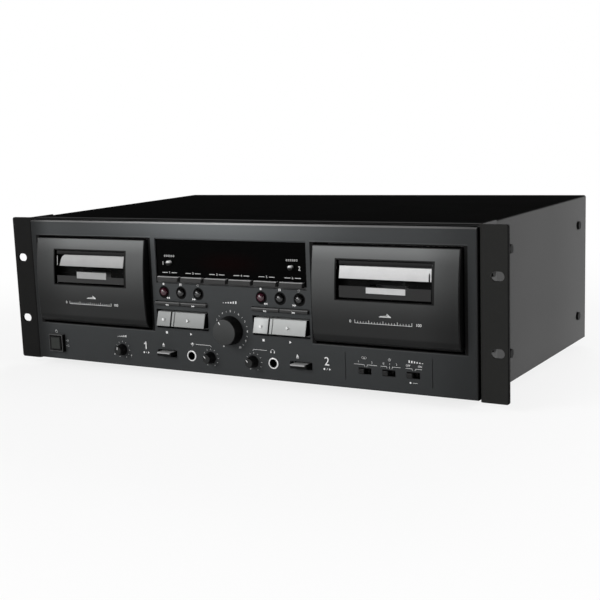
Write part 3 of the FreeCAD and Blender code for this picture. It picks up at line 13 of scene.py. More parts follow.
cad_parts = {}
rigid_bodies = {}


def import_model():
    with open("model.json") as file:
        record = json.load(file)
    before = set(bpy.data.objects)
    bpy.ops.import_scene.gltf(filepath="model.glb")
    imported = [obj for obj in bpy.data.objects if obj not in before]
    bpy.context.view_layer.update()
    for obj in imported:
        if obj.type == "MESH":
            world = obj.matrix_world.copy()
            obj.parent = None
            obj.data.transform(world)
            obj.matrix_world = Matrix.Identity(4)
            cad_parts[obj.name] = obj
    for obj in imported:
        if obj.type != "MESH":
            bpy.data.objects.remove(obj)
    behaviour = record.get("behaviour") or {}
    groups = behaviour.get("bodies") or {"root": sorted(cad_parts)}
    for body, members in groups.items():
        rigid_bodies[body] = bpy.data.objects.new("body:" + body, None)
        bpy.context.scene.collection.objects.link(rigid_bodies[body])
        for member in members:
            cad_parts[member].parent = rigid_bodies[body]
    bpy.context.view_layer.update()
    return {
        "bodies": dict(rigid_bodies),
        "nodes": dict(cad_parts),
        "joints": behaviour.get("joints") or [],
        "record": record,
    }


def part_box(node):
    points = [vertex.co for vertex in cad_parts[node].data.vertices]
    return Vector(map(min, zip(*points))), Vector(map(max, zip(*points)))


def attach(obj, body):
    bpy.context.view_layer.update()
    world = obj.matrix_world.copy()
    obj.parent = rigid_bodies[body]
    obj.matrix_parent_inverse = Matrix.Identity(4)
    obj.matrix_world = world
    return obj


log = logging.getLogger("double_cassette_deck")

MM = 0.001
PANEL_PROUD = 2.0
PLATE_RELIEF = 0.05
PLATE_GRAIN = 0.00002

Colour = tuple[float, float, float]
Point = tuple[float, float, float]
Span = tuple[float, float]


class Axis(Enum):
    """The three directions of the part: across, back and up."""

    ACROSS = 0
    BACK = 1
    UP = 2


class Deck(Enum):
    """The two tape decks, left and right."""

    LEFT = 1
    RIGHT = 2

    @property
    def middle(self) -> float:
        """Middle of the deck's window, in millimetres across."""
        return middle_of(f"door_window_{self.value}")[0]

    @property
    def door_body(self) -> str:
        """Name of the body that the deck's door belongs to."""
        return f"cassette_door_{self.value}"


def middle_of(name: str) -> Span:
    """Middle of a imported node, across and up, in millimetres."""
    low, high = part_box(name)
    return (low.x + high.x) / 2 / MM, (low.z + high.z) / 2 / MM


def front_of(name: str) -> float:
    """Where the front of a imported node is, in millimetres front to back."""
    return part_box(name)[0].y / MM


def panel_face() -> float:
    """Where the front panel's face is, in millimetres front to back."""
    return front_of("rack_ear_left") - PANEL_PROUD


def around(centre: Span, radius: float, angle: float) -> Span:
    """A point on a circle, at an angle in degrees clockwise from straight up."""
    turn = math.radians(angle)
    return centre[0] + radius * math.sin(turn), centre[1] + radius * math.cos(turn)


def level(value: float) -> float:
    """A screen level from 0 to 255 as linear light, by the curve of sRGB."""
    share = value / 255
    return share / 12.92 if share <= 0.04045 else ((share + 0.055) / 1.055) ** 2.4


def tint(red: float, green: float, blue: float) -> Colour:
    """A colour given as screen levels, as linear light."""
    return level(red), level(green), level(blue)


def grey(value: float) -> Colour:
    """A neutral colour given as one screen level."""
    return tint(value, value, value)


# Painted shade: the near black painted into gaps, slots, holes, recesses and side walls where shade falls.
PAINTED_SHADE = grey(4)
WHITE = (1.0, 1.0, 1.0)


class Value:
    """A number in a material's tree, so that shader maths reads as plain maths."""

    def __init__(self, graph: "Graph", socket: bpy.types.NodeSocket) -> None:
        """Wrap one output."""
        self.graph = graph
        self.socket = socket

    def __add__(self, other: "Value | float") -> "Value":
        """Sum."""
        return self.graph.maths("ADD", self, other)

    def __radd__(self, other: float) -> "Value":
        """Sum, the other way round."""
        return self.graph.maths("ADD", other, self)

    def __sub__(self, other: "Value | float") -> "Value":
        """Difference."""
        return self.graph.maths("SUBTRACT", self, other)

    def __rsub__(self, other: float) -> "Value":
        """Difference, the other way round."""
        return self.graph.maths("SUBTRACT", other, self)

    def __mul__(self, other: "Value | float") -> "Value":
        """Product."""
        return self.graph.maths("MULTIPLY", self, other)

    def __rmul__(self, other: float) -> "Value":
        """Product, the other way round."""
        return self.graph.maths("MULTIPLY", other, self)

    def __truediv__(self, other: "Value | float") -> "Value":
        """Quotient."""
        return self.graph.maths("DIVIDE", self, other)

    def __rtruediv__(self, other: float) -> "Value":
        """Quotient, the other way round."""
        return self.graph.maths("DIVIDE", other, self)

    def size(self) -> "Value":
        """The number without its sign."""
        return self.graph.maths("ABSOLUTE", self, 0.0)

    def larger(self, other: "Value | float") -> "Value":
        """The larger of two numbers."""
        return self.graph.maths("MAXIMUM", self, other)

    def rises(self, start: float, end: float) -> "Value":
        """From 0 at start to 1 at end, smoothly; start may be above end."""
        low, high = min(start, end), max(start, end)
        made = self.graph.node(
            "ShaderNodeMapRange", {"interpolation_type": "SMOOTHSTEP"},
            {"Value": self, "From Min": low, "From Max": high},
        )
        result = Value(self.graph, made.outputs["Result"])
        return result if start < end else 1.0 - result


class Graph:
    """Builds the nodes of one material or world."""

    def __init__(self, tree: bpy.types.NodeTree) -> None:
        """Start from an empty tree."""
        self.tree = tree
        self.tree.nodes.clear()

    def node(self, kind: str, settings: dict | None = None, inputs: dict | None = None) -> bpy.types.Node:
        """Add a node.

        Args:
            kind: Its type.
            settings: Its properties, set before its inputs.
            inputs: Its inputs by name or number, as numbers, colours, sockets or values.

        Returns:
            The node.
        """
        made = self.tree.nodes.new(kind)
        for name, value in (settings or {}).items():
            setattr(made, name, value)
        for name, value in (inputs or {}).items():
            self.feed(made.inputs[name], value)
        return made

    def feed(self, socket: bpy.types.NodeSocket, value: object) -> None:
        """Give an input a link or a constant.

        Args:
            socket: The input.
            value: A value, a socket, a colour or a number.
        """
        if isinstance(value, Value):
            self.tree.links.new(value.socket, socket)
        elif isinstance(value, bpy.types.NodeSocket):
            self.tree.links.new(value, socket)
        elif socket.type == "RGBA":
            socket.default_value = (*value, 1.0)
        else:
            socket.default_value = value

    def maths(self, operation: str, first: "Value | float", second: "Value | float") -> Value:
        """A number from two numbers."""
        made = self.node("ShaderNodeMath", {"operation": operation}, {0: first, 1: second})
        return Value(self, made.outputs[0])

    def place(self, stretch: Point = (1.0, 1.0, 1.0)) -> bpy.types.NodeSocket:
        """The point on the part, in metres; stretch makes a pattern finer along a direction.

        Args:
            stretch: How much finer a pattern is along each direction.

        Returns:
            The point.
        """
        made = self.node("ShaderNodeTexCoord")
        scaled = self.node("ShaderNodeMapping", None, {"Vector": made.outputs["Object"], "Scale": stretch})
        return scaled.outputs["Vector"]

    def along(self, axis: Axis) -> Value:
        """The place along one direction, in millimetres."""
        parts = self.node("ShaderNodeSeparateXYZ", None, {0: self.place()})
        return Value(self, parts.outputs[axis.value]) * (1 / MM)

    def away(self, centre: Span, reach: Span) -> Value:
        """Distance from a point, seen from the front.

        Args:
            centre: The point, across and up, in millimetres.
            reach: What counts as 1 across and up, in millimetres.

        Returns:
            The distance.
        """
        side = (self.along(Axis.ACROSS) - centre[0]) / reach[0]
        rise = (self.along(Axis.UP) - centre[1]) / reach[1]
        return self.maths("POWER", side * side + rise * rise, 0.5)

    def noise(self, point: bpy.types.NodeSocket, scale: float, detail: float = 3.0) -> Value:
        """Soft random pattern, from about -0.5 to 0.5; scale is in spots to a metre."""
        made = self.node("ShaderNodeTexNoise", None, {"Vector": point, "Scale": scale, "Detail": detail})
        return Value(self, made.outputs["Fac"]) - 0.5

    def scaled(
        self, colour: "Colour | bpy.types.NodeSocket", factor: "Value | float",
    ) -> bpy.types.NodeSocket:
        """A colour made lighter or darker."""
        made = self.node("ShaderNodeVectorMath", {"operation": "SCALE"}, {0: colour, "Scale": factor})
        return made.outputs[0]

    def mixed(self, share: "Value | float", first: object, second: object) -> bpy.types.NodeSocket:
        """A colour between two colours: the first where share is 0, the second where it is 1."""
        made = self.node("ShaderNodeMix", {"data_type": "RGBA"}, {0: share, 6: first, 7: second})
        return made.outputs[2]

    def bump(self, height: Value, strength: float, depth: float) -> bpy.types.NodeSocket:
        """A normal tilted by a height pattern; depth is the pattern's height in metres."""
        made = self.node("ShaderNodeBump", None, {"Strength": strength, "Distance": depth, "Height": height})
        return made.outputs["Normal"]

    def output(self, shader: bpy.types.NodeSocket, kind: str = "ShaderNodeOutputMaterial") -> None:
        """Close the tree with its output node."""
        self.node(kind, None, {"Surface": shader})


def new_material(name: str) -> tuple[bpy.types.Material, Graph]:
    """An empty material and the graph that fills it."""
    made = bpy.data.materials.new(name)
    made.use_nodes = True
    return made, Graph(made.node_tree)


@dataclass(frozen=True)
class Fade:
    """A painted change of light and shade along one direction of the part."""

    axis: Axis
    start: float
    end: float
    first: float
    last: float

    def factor(self, graph: Graph) -> Value:
        """The factor at each point, from first at start to last at end."""
        share = graph.along(self.axis).rises(self.start, self.end)
        return share * (self.last - self.first) + self.first


@dataclass(frozen=True)
class Band:
    """A stretch of a surface in a colour of its own, with soft ends; also used for painted shade and painted
    highlights.
    """

    axis: Axis
    start: float
    end: float
    colour: Colour
    soft: float = 0.2

    def share(self, graph: Graph) -> Value:
        """How much of the colour shows at each point.

        Args:
            graph: The tree it is built in.

        Returns:
            1 inside the stretch and 0 outside it.
        """
        place = graph.along(self.axis)
        opens = place.rises(self.start - self.soft, self.start + self.soft)
        closes = place.rises(self.end + self.soft, self.end - self.soft)
        return opens * closes


@dataclass(frozen=True)
class Spot:
    """A round area of a surface, seen from the front, in a colour of its own; also used for painted shade."""

    centre: Span
    radius: float
    colour: Colour
    soft: float = 0.2

    def share(self, graph: Graph) -> Value:
        """How much of the colour shows at each point: 1 inside the circle and 0 outside it."""
        away = graph.away(self.centre, (1.0, 1.0))
        return away.rises(self.radius + self.soft, self.radius - self.soft)


@dataclass(frozen=True)
class Tile:
    """A rectangular area of a surface, seen from the front, in a colour of its own; also used for painted
    shade and painted highlights.
    """

    low: Span
    high: Span
    colour: Colour
    soft: float = 0.2

    def share(self, graph: Graph) -> Value:
        """How much of the colour shows at each point.

        Args:
            graph: The tree it is built in.

        Returns:
            1 inside the rectangle and 0 outside it.
        """
        past = []
        for axis, low, high in zip((Axis.ACROSS, Axis.UP), self.low, self.high):
            past.append((graph.along(axis) - (low + high) / 2).size() - (high - low) / 2)
        return past[0].larger(past[1]).rises(self.soft, -self.soft)


@dataclass(frozen=True)
class Pool:
    """A painted pool of light: an oval area, seen from the front, that is lighter or darker towards its
    middle.
    """

    centre: Span
    reach: Span
    gain: float

    def factor(self, graph: Graph) -> Value:
        """The factor at each point: 1 outside the oval, and 1 plus the gain in its middle."""
        return graph.away(self.centre, self.reach).rises(1.0, 0.0) * self.gain + 1.0


@dataclass(frozen=True)
class Surface:
    """An opaque finish, such as paint, plastic, rubber or bare metal.

    The grain is a fine pattern that tilts the surface, the patches are large soft stains that change shade
    and sheen, and the specks are small lighter spots of wear.
    """

    name: str
    colour: Colour
    roughness: float = 0.5
    metallic: float = 0.0
    gloss: float = 0.5
    grain: float = 1400.0
    grain_height: float = 0.00004
    relief: float = 0.3
    patch: float = 22.0
    mottle: float = 0.1
    smudge: float = 0.12
    wear: float = 0.02
    wear_edge: Span = (0.16, 0.24)
    stretch: Point = (1.0, 1.0, 1.0)
    # Gradients and pools of painted light and shade that scale the colour.
    shades: tuple[Fade | Pool, ...] = ()
    # Areas of another colour: some are the part's own colours, others painted shade and painted highlights.
    areas: tuple[Band | Spot | Tile, ...] = ()
    # Emission on a part that is no lamp: painted glow.
    glow: float = 0.0

    def build(self) -> bpy.types.Material:
        """Make the material.

        Returns:
            The material.
        """
        made, graph = new_material(self.name)
        place = graph.place(self.stretch)
        fine = graph.noise(place, self.grain)
        stain = graph.noise(graph.place(), self.patch)
        spots = graph.noise(graph.place(), self.grain / 3, 1.0).rises(*self.wear_edge)
        shade = 1.0 + stain * self.mottle + fine * (self.mottle / 2) + spots * self.wear
        for change in self.shades:
            shade = shade * change.factor(graph)
        colour = self.colour
        for area in self.areas:
            colour = graph.mixed(area.share(graph), colour, area.colour)
        colour = graph.scaled(colour, shade)
        inputs = {
            "Base Color": colour,
            "Roughness": self.roughness + stain * self.smudge + fine * (self.smudge / 3),
            "Metallic": self.metallic,
            "Specular IOR Level": self.gloss,
            "Normal": graph.bump(fine, self.relief, self.grain_height),
        }
        if self.glow:
            inputs["Emission Color"] = colour
            inputs["Emission Strength"] = self.glow
        shader = graph.node("ShaderNodeBsdfPrincipled", None, inputs)
        graph.output(shader.outputs[0])
        return made


@dataclass(frozen=True)
class ClearPlate:
    """A clear window: it lets the view through and mirrors a little, more so at its edges."""

    name: str
    through: Colour = (0.9, 0.9, 0.9)
    body: Colour = (0.02, 0.02, 0.02)
    mirror: float = 0.35
    roughness: float = 0.06
    scratches: float = 0.08
    scratch_scale: float = 120.0
    dust_scale: float = 40.0
    dust: float = 0.01

    def build(self) -> bpy.types.Material:
        """Make the material.

        Returns:
            The material.
        """
        made, graph = new_material(self.name)
        scuff = graph.noise(graph.place((1.0, 1.0, 9.0)), self.scratch_scale)
        dust = graph.noise(graph.place(), self.dust_scale)
        glass = graph.node("ShaderNodeBsdfTransparent", None, {"Color": self.through})
        sheen = graph.node(
            "ShaderNodeBsdfPrincipled", None,
            {
                "Base Color": graph.scaled(self.body, 1.0 + dust),
                "Roughness": self.roughness + scuff * self.scratches,
                "Specular IOR Level": 0.5,
                "Normal": graph.bump(scuff, PLATE_RELIEF, PLATE_GRAIN),
            },
        )
        edge = graph.node("ShaderNodeLayerWeight", None, {"Blend": 0.2})
        share = Value(graph, edge.outputs["Fresnel"]) * self.mirror + dust * self.dust
        mix = graph.node("ShaderNodeMixShader", None, {0: share, 1: glass.outputs[0], 2: sheen.outputs[0]})
        graph.output(mix.outputs[0])
        return made


@dataclass(frozen=True)
class SmokedPlate:
    """A nearly black plate with a faint warm glow in its middle."""

    name: str
    colour: Colour
    heart: Colour
    centre: Span
    reach: Span
    areas: tuple[Band, ...] = ()
    roughness: float = 0.16
    gloss: float = 0.02
    mottle: float = 0.3
    smudge: float = 0.06
    stain_scale: float = 60.0
    fine_scale: float = 900.0

    def build(self) -> bpy.types.Material:
        """Make the material.

        Returns:
            The material.
        """
        made, graph = new_material(self.name)
        away = graph.away(self.centre, self.reach)
        stain = graph.noise(graph.place(), self.stain_scale)
        fine = graph.noise(graph.place(), self.fine_scale)
        base = graph.scaled(self.colour, 1.0 + stain * self.mottle)
        colour = graph.mixed(away.rises(1.0, 0.0), base, self.heart)
        for area in self.areas:
            colour = graph.mixed(area.share(graph), colour, area.colour)
        shader = graph.node(
            "ShaderNodeBsdfPrincipled", None,
            {
                "Base Color": colour,
                "Roughness": self.roughness + stain * self.smudge + fine * (self.smudge / 2),
                "Specular IOR Level": self.gloss,
                "Normal": graph.bump(fine, PLATE_RELIEF, PLATE_GRAIN),
            },
        )
        graph.output(shader.outputs[0])
        return made

class Finishes:
    """Every finish of the part, built once.

    Areas are named by their low and high corners, across and up. Those of the levers, the switches and
    the windows count across from the middle of each, and those of the doors are margins beyond the door.
    """

    # Margins round each door: a painted highlight on the panel just outside painted shadow in the gap round
    # the door.
    DOOR_RIM = ((0.9, 3.1), (0.1, 2.6))
    DOOR_GAP = ((0.9, 2.3), (0.1, 1.8))
    # Panel slots round the keys, levers and switches, filled with painted shade.
    KEY_SLOTS = ((-76.5, -22.3), (22.3, 76.5))
    KEY_SLOT_HEIGHTS = ((43.8, 60.3), (63.8, 67.8))
    LEVERS = (-67.2, 67.2)
    LEVER_SLOT = ((-8.3, 19.2), (10.4, 24.6))
    # Painted highlight along the top front edge of each eject lever.
    LEVER_EDGE = ((-7.8, 22.0), (6.0, 23.3))
    SWITCHES = (124.8, 145.4, 166.0)
    SWITCH_SLOT = ((-5.6, 19.2), (5.6, 24.4))
    SWITCH_HOUSINGS = ((105.0, 16.0), (175.0, 28.0))
    # Power bezel: a painted highlight on its rim, painted shade in its well and on its right outer wall.
    BEZEL_RIM = ((-202.0, 14.0), (-184.9, 30.6))
    BEZEL_WELL = ((-200.9, 15.2), (-186.1, 29.5))
    BEZEL_SHADE = ((-185.4, 13.8), (-184.8, 30.8))
    POWER_FACE = ((-198.4, 17.1), (-188.4, 27.5))
    # Painted shade in each door's window recess.
    WINDOW_WELL = ((-41.4, 78.2), (42.3, 110.8))
    # Painted shade in the bores of the two front jacks.
    JACKS = ((-41.1, 21.2), (41.1, 21.2))
    JACK_HOLE = 3.6
    ROLLERS = ((-113.0, 47.6), (177.0, 47.6))
    ROLLER_RADIUS = 5.7

    def __init__(self) -> None:
        """Build the materials."""
        self.shell()
        self.front()
        self.bays()
        self.controls()
        self.insides()

    @staticmethod
    def gap(name: str, low_margin: Span, high_margin: Span, colour: Colour = PAINTED_SHADE) -> Tile:
        """Painted shadow in the gap round something that stands in an opening of the panel, or a painted
        highlight on the rim of that gap.

        Args:
            name: The node that stands in the opening.
            low_margin: How far the gap shows to its left and under it.
            high_margin: How far the gap shows to its right and over it.
            colour: Its colour.

        Returns:
            The area.
        """
        low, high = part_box(name)
        return Tile(
            (low.x / MM - low_margin[0], low.z / MM - low_margin[1]),
            (high.x / MM + high_margin[0], high.z / MM + high_margin[1]), colour,
        )

    @staticmethod
    def hollow(name: str, rim: float = 0.6) -> Spot:
        """A painted shadow ring round a round button, set towards its lower right.

        Args:
            name: The button's node.
            rim: Width of the ring.

        Returns:
            The area.
        """
        low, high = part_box(name)
        across, up = middle_of(name)
        return Spot((across + rim / 2, up - rim / 2), (high.x - low.x) / 2 / MM + rim, PAINTED_SHADE)

    @staticmethod
    def repeated(middles: tuple[float, ...], corners: tuple[Span, Span], colour: Colour) -> list[Tile]:
        """The same area at several places across, with its corners counted from each."""
        low, high = corners
        return [Tile((x + low[0], low[1]), (x + high[0], high[1]), colour) for x in middles]

    @staticmethod
    def knob_face(name: str, colour: Colour) -> Band:
        """The face of a knob, in a colour of its own."""
        front = front_of(name)
        return Band(Axis.BACK, front - 1.0, front + 0.25, colour, 0.1)

    def shell(self) -> None:
        """Finishes of the case."""
        across, back, up = Axis.ACROSS, Axis.BACK, Axis.UP
        self.cover = Surface(
            "black_cover_paint", grey(69), roughness=0.62, gloss=0.02, mottle=0.12, wear=0.06,
            # Painted light and shade: the sides lighter towards the back and towards the bottom.
            shades=(
                Fade(back, -120.0, 0.0, 0.88, 1.02), Fade(back, 20.0, 135.0, 1.0, 1.24),
                Fade(up, 10.0, 60.0, 1.12, 1.0),
            ),
            # Painted shade makes the top near black; a painted highlight runs along the top's front edge.
            areas=(Band(up, 136.55, 140.0, grey(8), 0.65), Band(back, -123.6, -116.5, grey(64), 0.3)),
        ).build()
        self.pan = Surface("black_pan_paint", grey(40), roughness=0.6, gloss=0.1, mottle=0.2).build()
        self.ear = Surface(
            "rack_ear_paint", tint(31, 31, 30), roughness=0.55, gloss=0.1, mottle=0.14, wear=0.15,
            # Painted shade: the left ear darker than the right.
            shades=(Fade(across, -230.0, 230.0, 0.3, 1.0),),
            # Painted light on the side flanges, a painted highlight along the right ear's inner edge and
            # painted shade on its rounded outer edge.
            areas=(
                Band(back, -125.2, -97.0, grey(66)), Band(across, 218.0, 220.2, tint(41, 41, 40)),
                Band(across, 240.2, 242.0, grey(6), 0.3),
            ),
        ).build()
        self.screw = Surface(
            "blackened_screw", grey(14), roughness=0.5, gloss=0.1, grain=3000.0, mottle=0.25, wear=0.4,
        ).build()
        self.foot = Surface(
            "foot_rubber", grey(24), roughness=0.8, gloss=0.2, grain=2500.0, relief=0.5,
        ).build()
        self.red_ring = Surface("red_ring_plastic", tint(168, 34, 36), roughness=0.4, gloss=0.4).build()
        self.white_ring = Surface("white_ring_plastic", grey(215), roughness=0.4, gloss=0.4).build()

    def openings(self) -> list[Tile | Spot]:
        """Painted shade in the gaps and slots of the panel, with painted highlights on the rims of the doors
        and the power bezel.
        """
        found = []
        for deck in Deck:
            door = f"door_{deck.value}"
            # Painted highlight on the rim round each door, then painted shadow in the gap round it.
            found += [self.gap(door, *self.DOOR_RIM, tint(82, 84, 85)), self.gap(door, *self.DOOR_GAP)]
        # Painted shade in the key, lever and switch slots.
        for left, right in self.KEY_SLOTS:
            found += [Tile((left, bottom), (right, top), PAINTED_SHADE) for bottom, top in self.KEY_SLOT_HEIGHTS]
        found += self.repeated(self.LEVERS, self.LEVER_SLOT, PAINTED_SHADE)
        found += self.repeated(self.SWITCHES, self.SWITCH_SLOT, PAINTED_SHADE)
        # Painted highlight on the power bezel's rim, painted shade in its well and on its right wall.
        found += [Tile(*self.BEZEL_RIM, grey(92)), Tile(*self.BEZEL_WELL, PAINTED_SHADE), Tile(*self.BEZEL_SHADE, PAINTED_SHADE)]
        # Painted shadow rings round the round buttons.
        for deck in Deck:
            found += [self.hollow(f"{kind}_button_{deck.value}") for kind in ("record", "pause", "mute")]
        return found

    def front(self) -> None:
        """Finishes of the front panel, the display and the marks."""
        across, up = Axis.ACROSS, Axis.UP
        self.panel = Surface(
            "panel_paint", tint(66, 68, 69), roughness=0.5, gloss=0.1, mottle=0.08, wear=0.05,
            # Painted light and shade: lighter towards the top, darker at both ends, with a pool of painted
            # highlight near the middle of the top.
            shades=(
                Fade(up, 8.0, 134.0, 0.62, 0.9), Fade(across, 100.0, 216.0, 1.0, 0.76),
                Fade(across, 178.0, 214.0, 1.0, 0.72), Fade(across, -216.0, -193.0, 0.34, 1.0),
                Pool((-13.0, 136.0), (155.0, 30.0), 1.6),
            ),
            # A painted highlight along the top edge, painted shade on the right side wall and in every gap
            # and slot.
            areas=(
                Band(up, 134.5, 137.0, grey(118), 0.15), Band(across, 217.5, 219.0, PAINTED_SHADE), *self.openings(),
            ),
        ).build()
        self.display = SmokedPlate(
            "smoked_display", grey(3), tint(9, 2, 2), centre=(0.0, 102.0), reach=(46.0, 13.0),
            # Painted light on the plate's lower strip, where the display keys cast their shadow.
            areas=(Band(up, 80.0, 85.4, grey(84)),),
        ).build()
        self.ink = Surface(
            # The white ink has a little painted glow.
            "white_ink", grey(214), roughness=0.6, gloss=0.2, grain=4000.0, mottle=0.12, wear=0.05, glow=0.08,
        ).build()
        self.socket = Surface("socket_plastic", grey(14), roughness=0.5, gloss=0.2).build()
        self.jack = Surface(
            # Painted glow on the ring; painted shade in the bores.
            "nickel_ring", grey(224), roughness=0.3, metallic=0.6, mottle=0.1, glow=0.12,
            areas=tuple(Spot(centre, self.JACK_HOLE, PAINTED_SHADE) for centre in self.JACKS),
        ).build()
        self.line_jack = Surface(
            "line_socket_metal", grey(190), roughness=0.3, metallic=0.9, mottle=0.1,
        ).build()

    def bays(self) -> None:
        """Finishes of the doors, their windows and what is behind them."""
        across, up = Axis.ACROSS, Axis.UP
        self.door = Surface(
            "door_plastic", tint(69, 70, 70), roughness=0.42, gloss=0.15, mottle=0.07, wear=0.04,
            # Painted light and shade: much lighter towards the top with a painted highlight along it, darker
            # under the crease near 50 mm, darker at the doors' outer ends.
            shades=(
                Fade(up, 56.0, 120.0, 0.31, 1.6), Fade(up, 106.0, 121.0, 1.0, 1.65),
                Fade(up, 49.3, 51.3, 0.5, 1.0), Fade(across, -208.0, -160.0, 0.42, 1.0),
                Fade(across, 170.0, 207.0, 1.0, 0.45),
            ),
            # Painted shade on the doors' right side walls, in the gaps above and below them and in the window
            # recesses.
            areas=(
                Band(across, -84.0, -79.0, PAINTED_SHADE, 0.3), Band(across, 206.0, 211.0, PAINTED_SHADE, 0.3),
                Band(up, 42.0, 43.7, PAINTED_SHADE, 0.3), Band(up, 119.8, 121.5, PAINTED_SHADE, 0.3),
                *self.repeated(tuple(deck.middle for deck in Deck), self.WINDOW_WELL, PAINTED_SHADE),
            ),
        ).build()
        self.lens = ClearPlate("clear_lens").build()
        self.holder = Surface("holder_plastic", grey(12), roughness=0.5, gloss=0.15).build()
        self.ledge = Surface(
            "window_ledge_print", grey(30), roughness=0.5, gloss=0.1, mottle=0.1,
            # Painted shade: darker towards its bottom.
            shades=(Fade(up, 105.7, 108.5, 0.12, 1.0),),
        ).build()
        self.sill = Surface(
            "window_sill_print", grey(50), roughness=0.5, gloss=0.1, mottle=0.1,
            # Painted shade: darker towards the right deck.
            shades=(Fade(across, -110.0, 104.0, 1.0, 0.78),),
        ).build()
        self.mirror_film = Surface(
            # Painted glow; painted shade darker on the left deck and towards the bottom of the stripe.
            "mirror_film", grey(206), roughness=0.5, gloss=0.05, patch=90.0, mottle=0.2, glow=0.12,
            shades=(
                Fade(across, -110.0, 104.0, 0.57, 0.93), Fade(up, 91.0, 94.0, 0.94, 1.0),
                Fade(up, 95.0, 104.5, 0.84, 1.0),
            ),
        ).build()
        self.spindle = Surface("spindle_plastic", grey(38), roughness=0.45, gloss=0.35).build()
        self.polished = Surface(
            "polished_steel", grey(205), roughness=0.18, metallic=1.0, mottle=0.1,
        ).build()
        self.steel = Surface(
            "zinc_steel", grey(150), roughness=0.42, metallic=0.9, mottle=0.3, wear=0.2,
            stretch=(1.0, 1.0, 6.0),
        ).build()
        self.bridge = Surface(
            "bridge_steel", grey(170), roughness=0.35, metallic=0.8, mottle=0.2,
            areas=tuple(Spot(centre, self.ROLLER_RADIUS, grey(16)) for centre in self.ROLLERS),
        ).build()

    def controls(self) -> None:
        """Finishes of the knobs, buttons, keys, levers and switches."""
        across, up = Axis.ACROSS, Axis.UP
        # Black of the knobs and the power button, and painted shade on the key ends.
        black_and_shade = grey(6)
        self.knob = Surface(
            "large_knob_plastic", black_and_shade, roughness=0.4, gloss=0.15, grain=2600.0,
            # Painted light: lighter towards the top.
            shades=(Fade(up, 35.0, 57.0, 0.75, 1.3),),
            areas=(self.knob_face("record_level_knob", tint(57, 58, 58)),),
        ).build()
        self.small_knob = Surface(
            "small_knob_plastic", black_and_shade, roughness=0.4, gloss=0.15, grain=2600.0,
            areas=(self.knob_face("pitch_knob", tint(36, 37, 37)),),
        ).build()
        self.bright = Surface(
            # Painted glow on the pointers and key symbols.
            "pale_pointer", grey(225), roughness=0.5, gloss=0.3, mottle=0.05, glow=0.05,
        ).build()
        self.button = Surface("black_button", grey(10), roughness=0.22, gloss=0.9).build()
        self.red = Surface("red_button", tint(54, 15, 28), roughness=0.22, gloss=0.9).build()
        self.winding = Surface(
            "winding_key", grey(50), roughness=0.4, gloss=0.2,
            # Painted highlight along the top of each winding key.
            areas=(Band(up, 66.5, 67.3, grey(104)),),
        ).build()
        self.slide = Surface("slide_cap", grey(14), roughness=0.45, gloss=0.3, grain=2200.0).build()
        self.key_light = Surface(
            "pale_key", tint(166, 168, 167), roughness=0.4, gloss=0.3, mottle=0.07,
            # Painted light and shade: lighter towards the top and on the right deck, with a pool of painted
            # highlight on the right deck's stop key.
            shades=(
                Fade(up, 44.0, 60.0, 0.8, 1.1), Fade(across, -24.0, 25.0, 0.66, 1.0),
                Pool((31.0, 52.0), (10.0, 16.0), 0.38),
            ),
            # Painted shade on the right ends of the stop and play keys.
            areas=(
                Band(across, -59.9, -59.05, black_and_shade, 0.1), Band(across, -24.3, -23.5, black_and_shade, 0.1),
                Band(across, 38.9, 39.8, black_and_shade, 0.1), Band(across, 74.4, 75.5, black_and_shade, 0.1),
            ),
        ).build()
        self.key_silver = Surface(
            "display_key", grey(56), roughness=0.38, gloss=0.1,
            # A painted highlight on the upper bevel, and painted shade on the top face.
            areas=(Band(up, 88.7, 89.44, grey(152), 0.05), Band(up, 89.47, 92.0, grey(8), 0.02)),
        ).build()
        self.dome = Surface(
            # Painted shade on the lower half of each reset dome.
            "pale_dome", grey(222), roughness=0.35, gloss=0.1, shades=(Fade(up, 100.6, 102.3, 0.02, 1.0),),
        ).build()
        self.lever = Surface(
            "eject_lever", grey(16), roughness=0.4, gloss=0.1,
            # Painted highlight along each lever's top front edge.
            areas=tuple(self.repeated(self.LEVERS, self.LEVER_EDGE, grey(165))),
        ).build()
        self.power = Surface(
            "power_button", black_and_shade, roughness=0.42, gloss=0.15,
            areas=(Tile(*self.POWER_FACE, tint(44, 46, 44)),),
        ).build()

    def insides(self) -> None:
        """Finishes of the boards and the transformer."""
        self.board = Surface(
            "circuit_board", tint(28, 74, 44), roughness=0.45, gloss=0.4, patch=160.0, mottle=0.5,
            grain=700.0, areas=(Tile(*self.SWITCH_HOUSINGS, grey(10)),),
        ).build()
        self.core = Surface(
            "laminated_core", tint(88, 84, 80), roughness=0.55, metallic=0.5, stretch=(1.0, 12.0, 1.0),
        ).build()


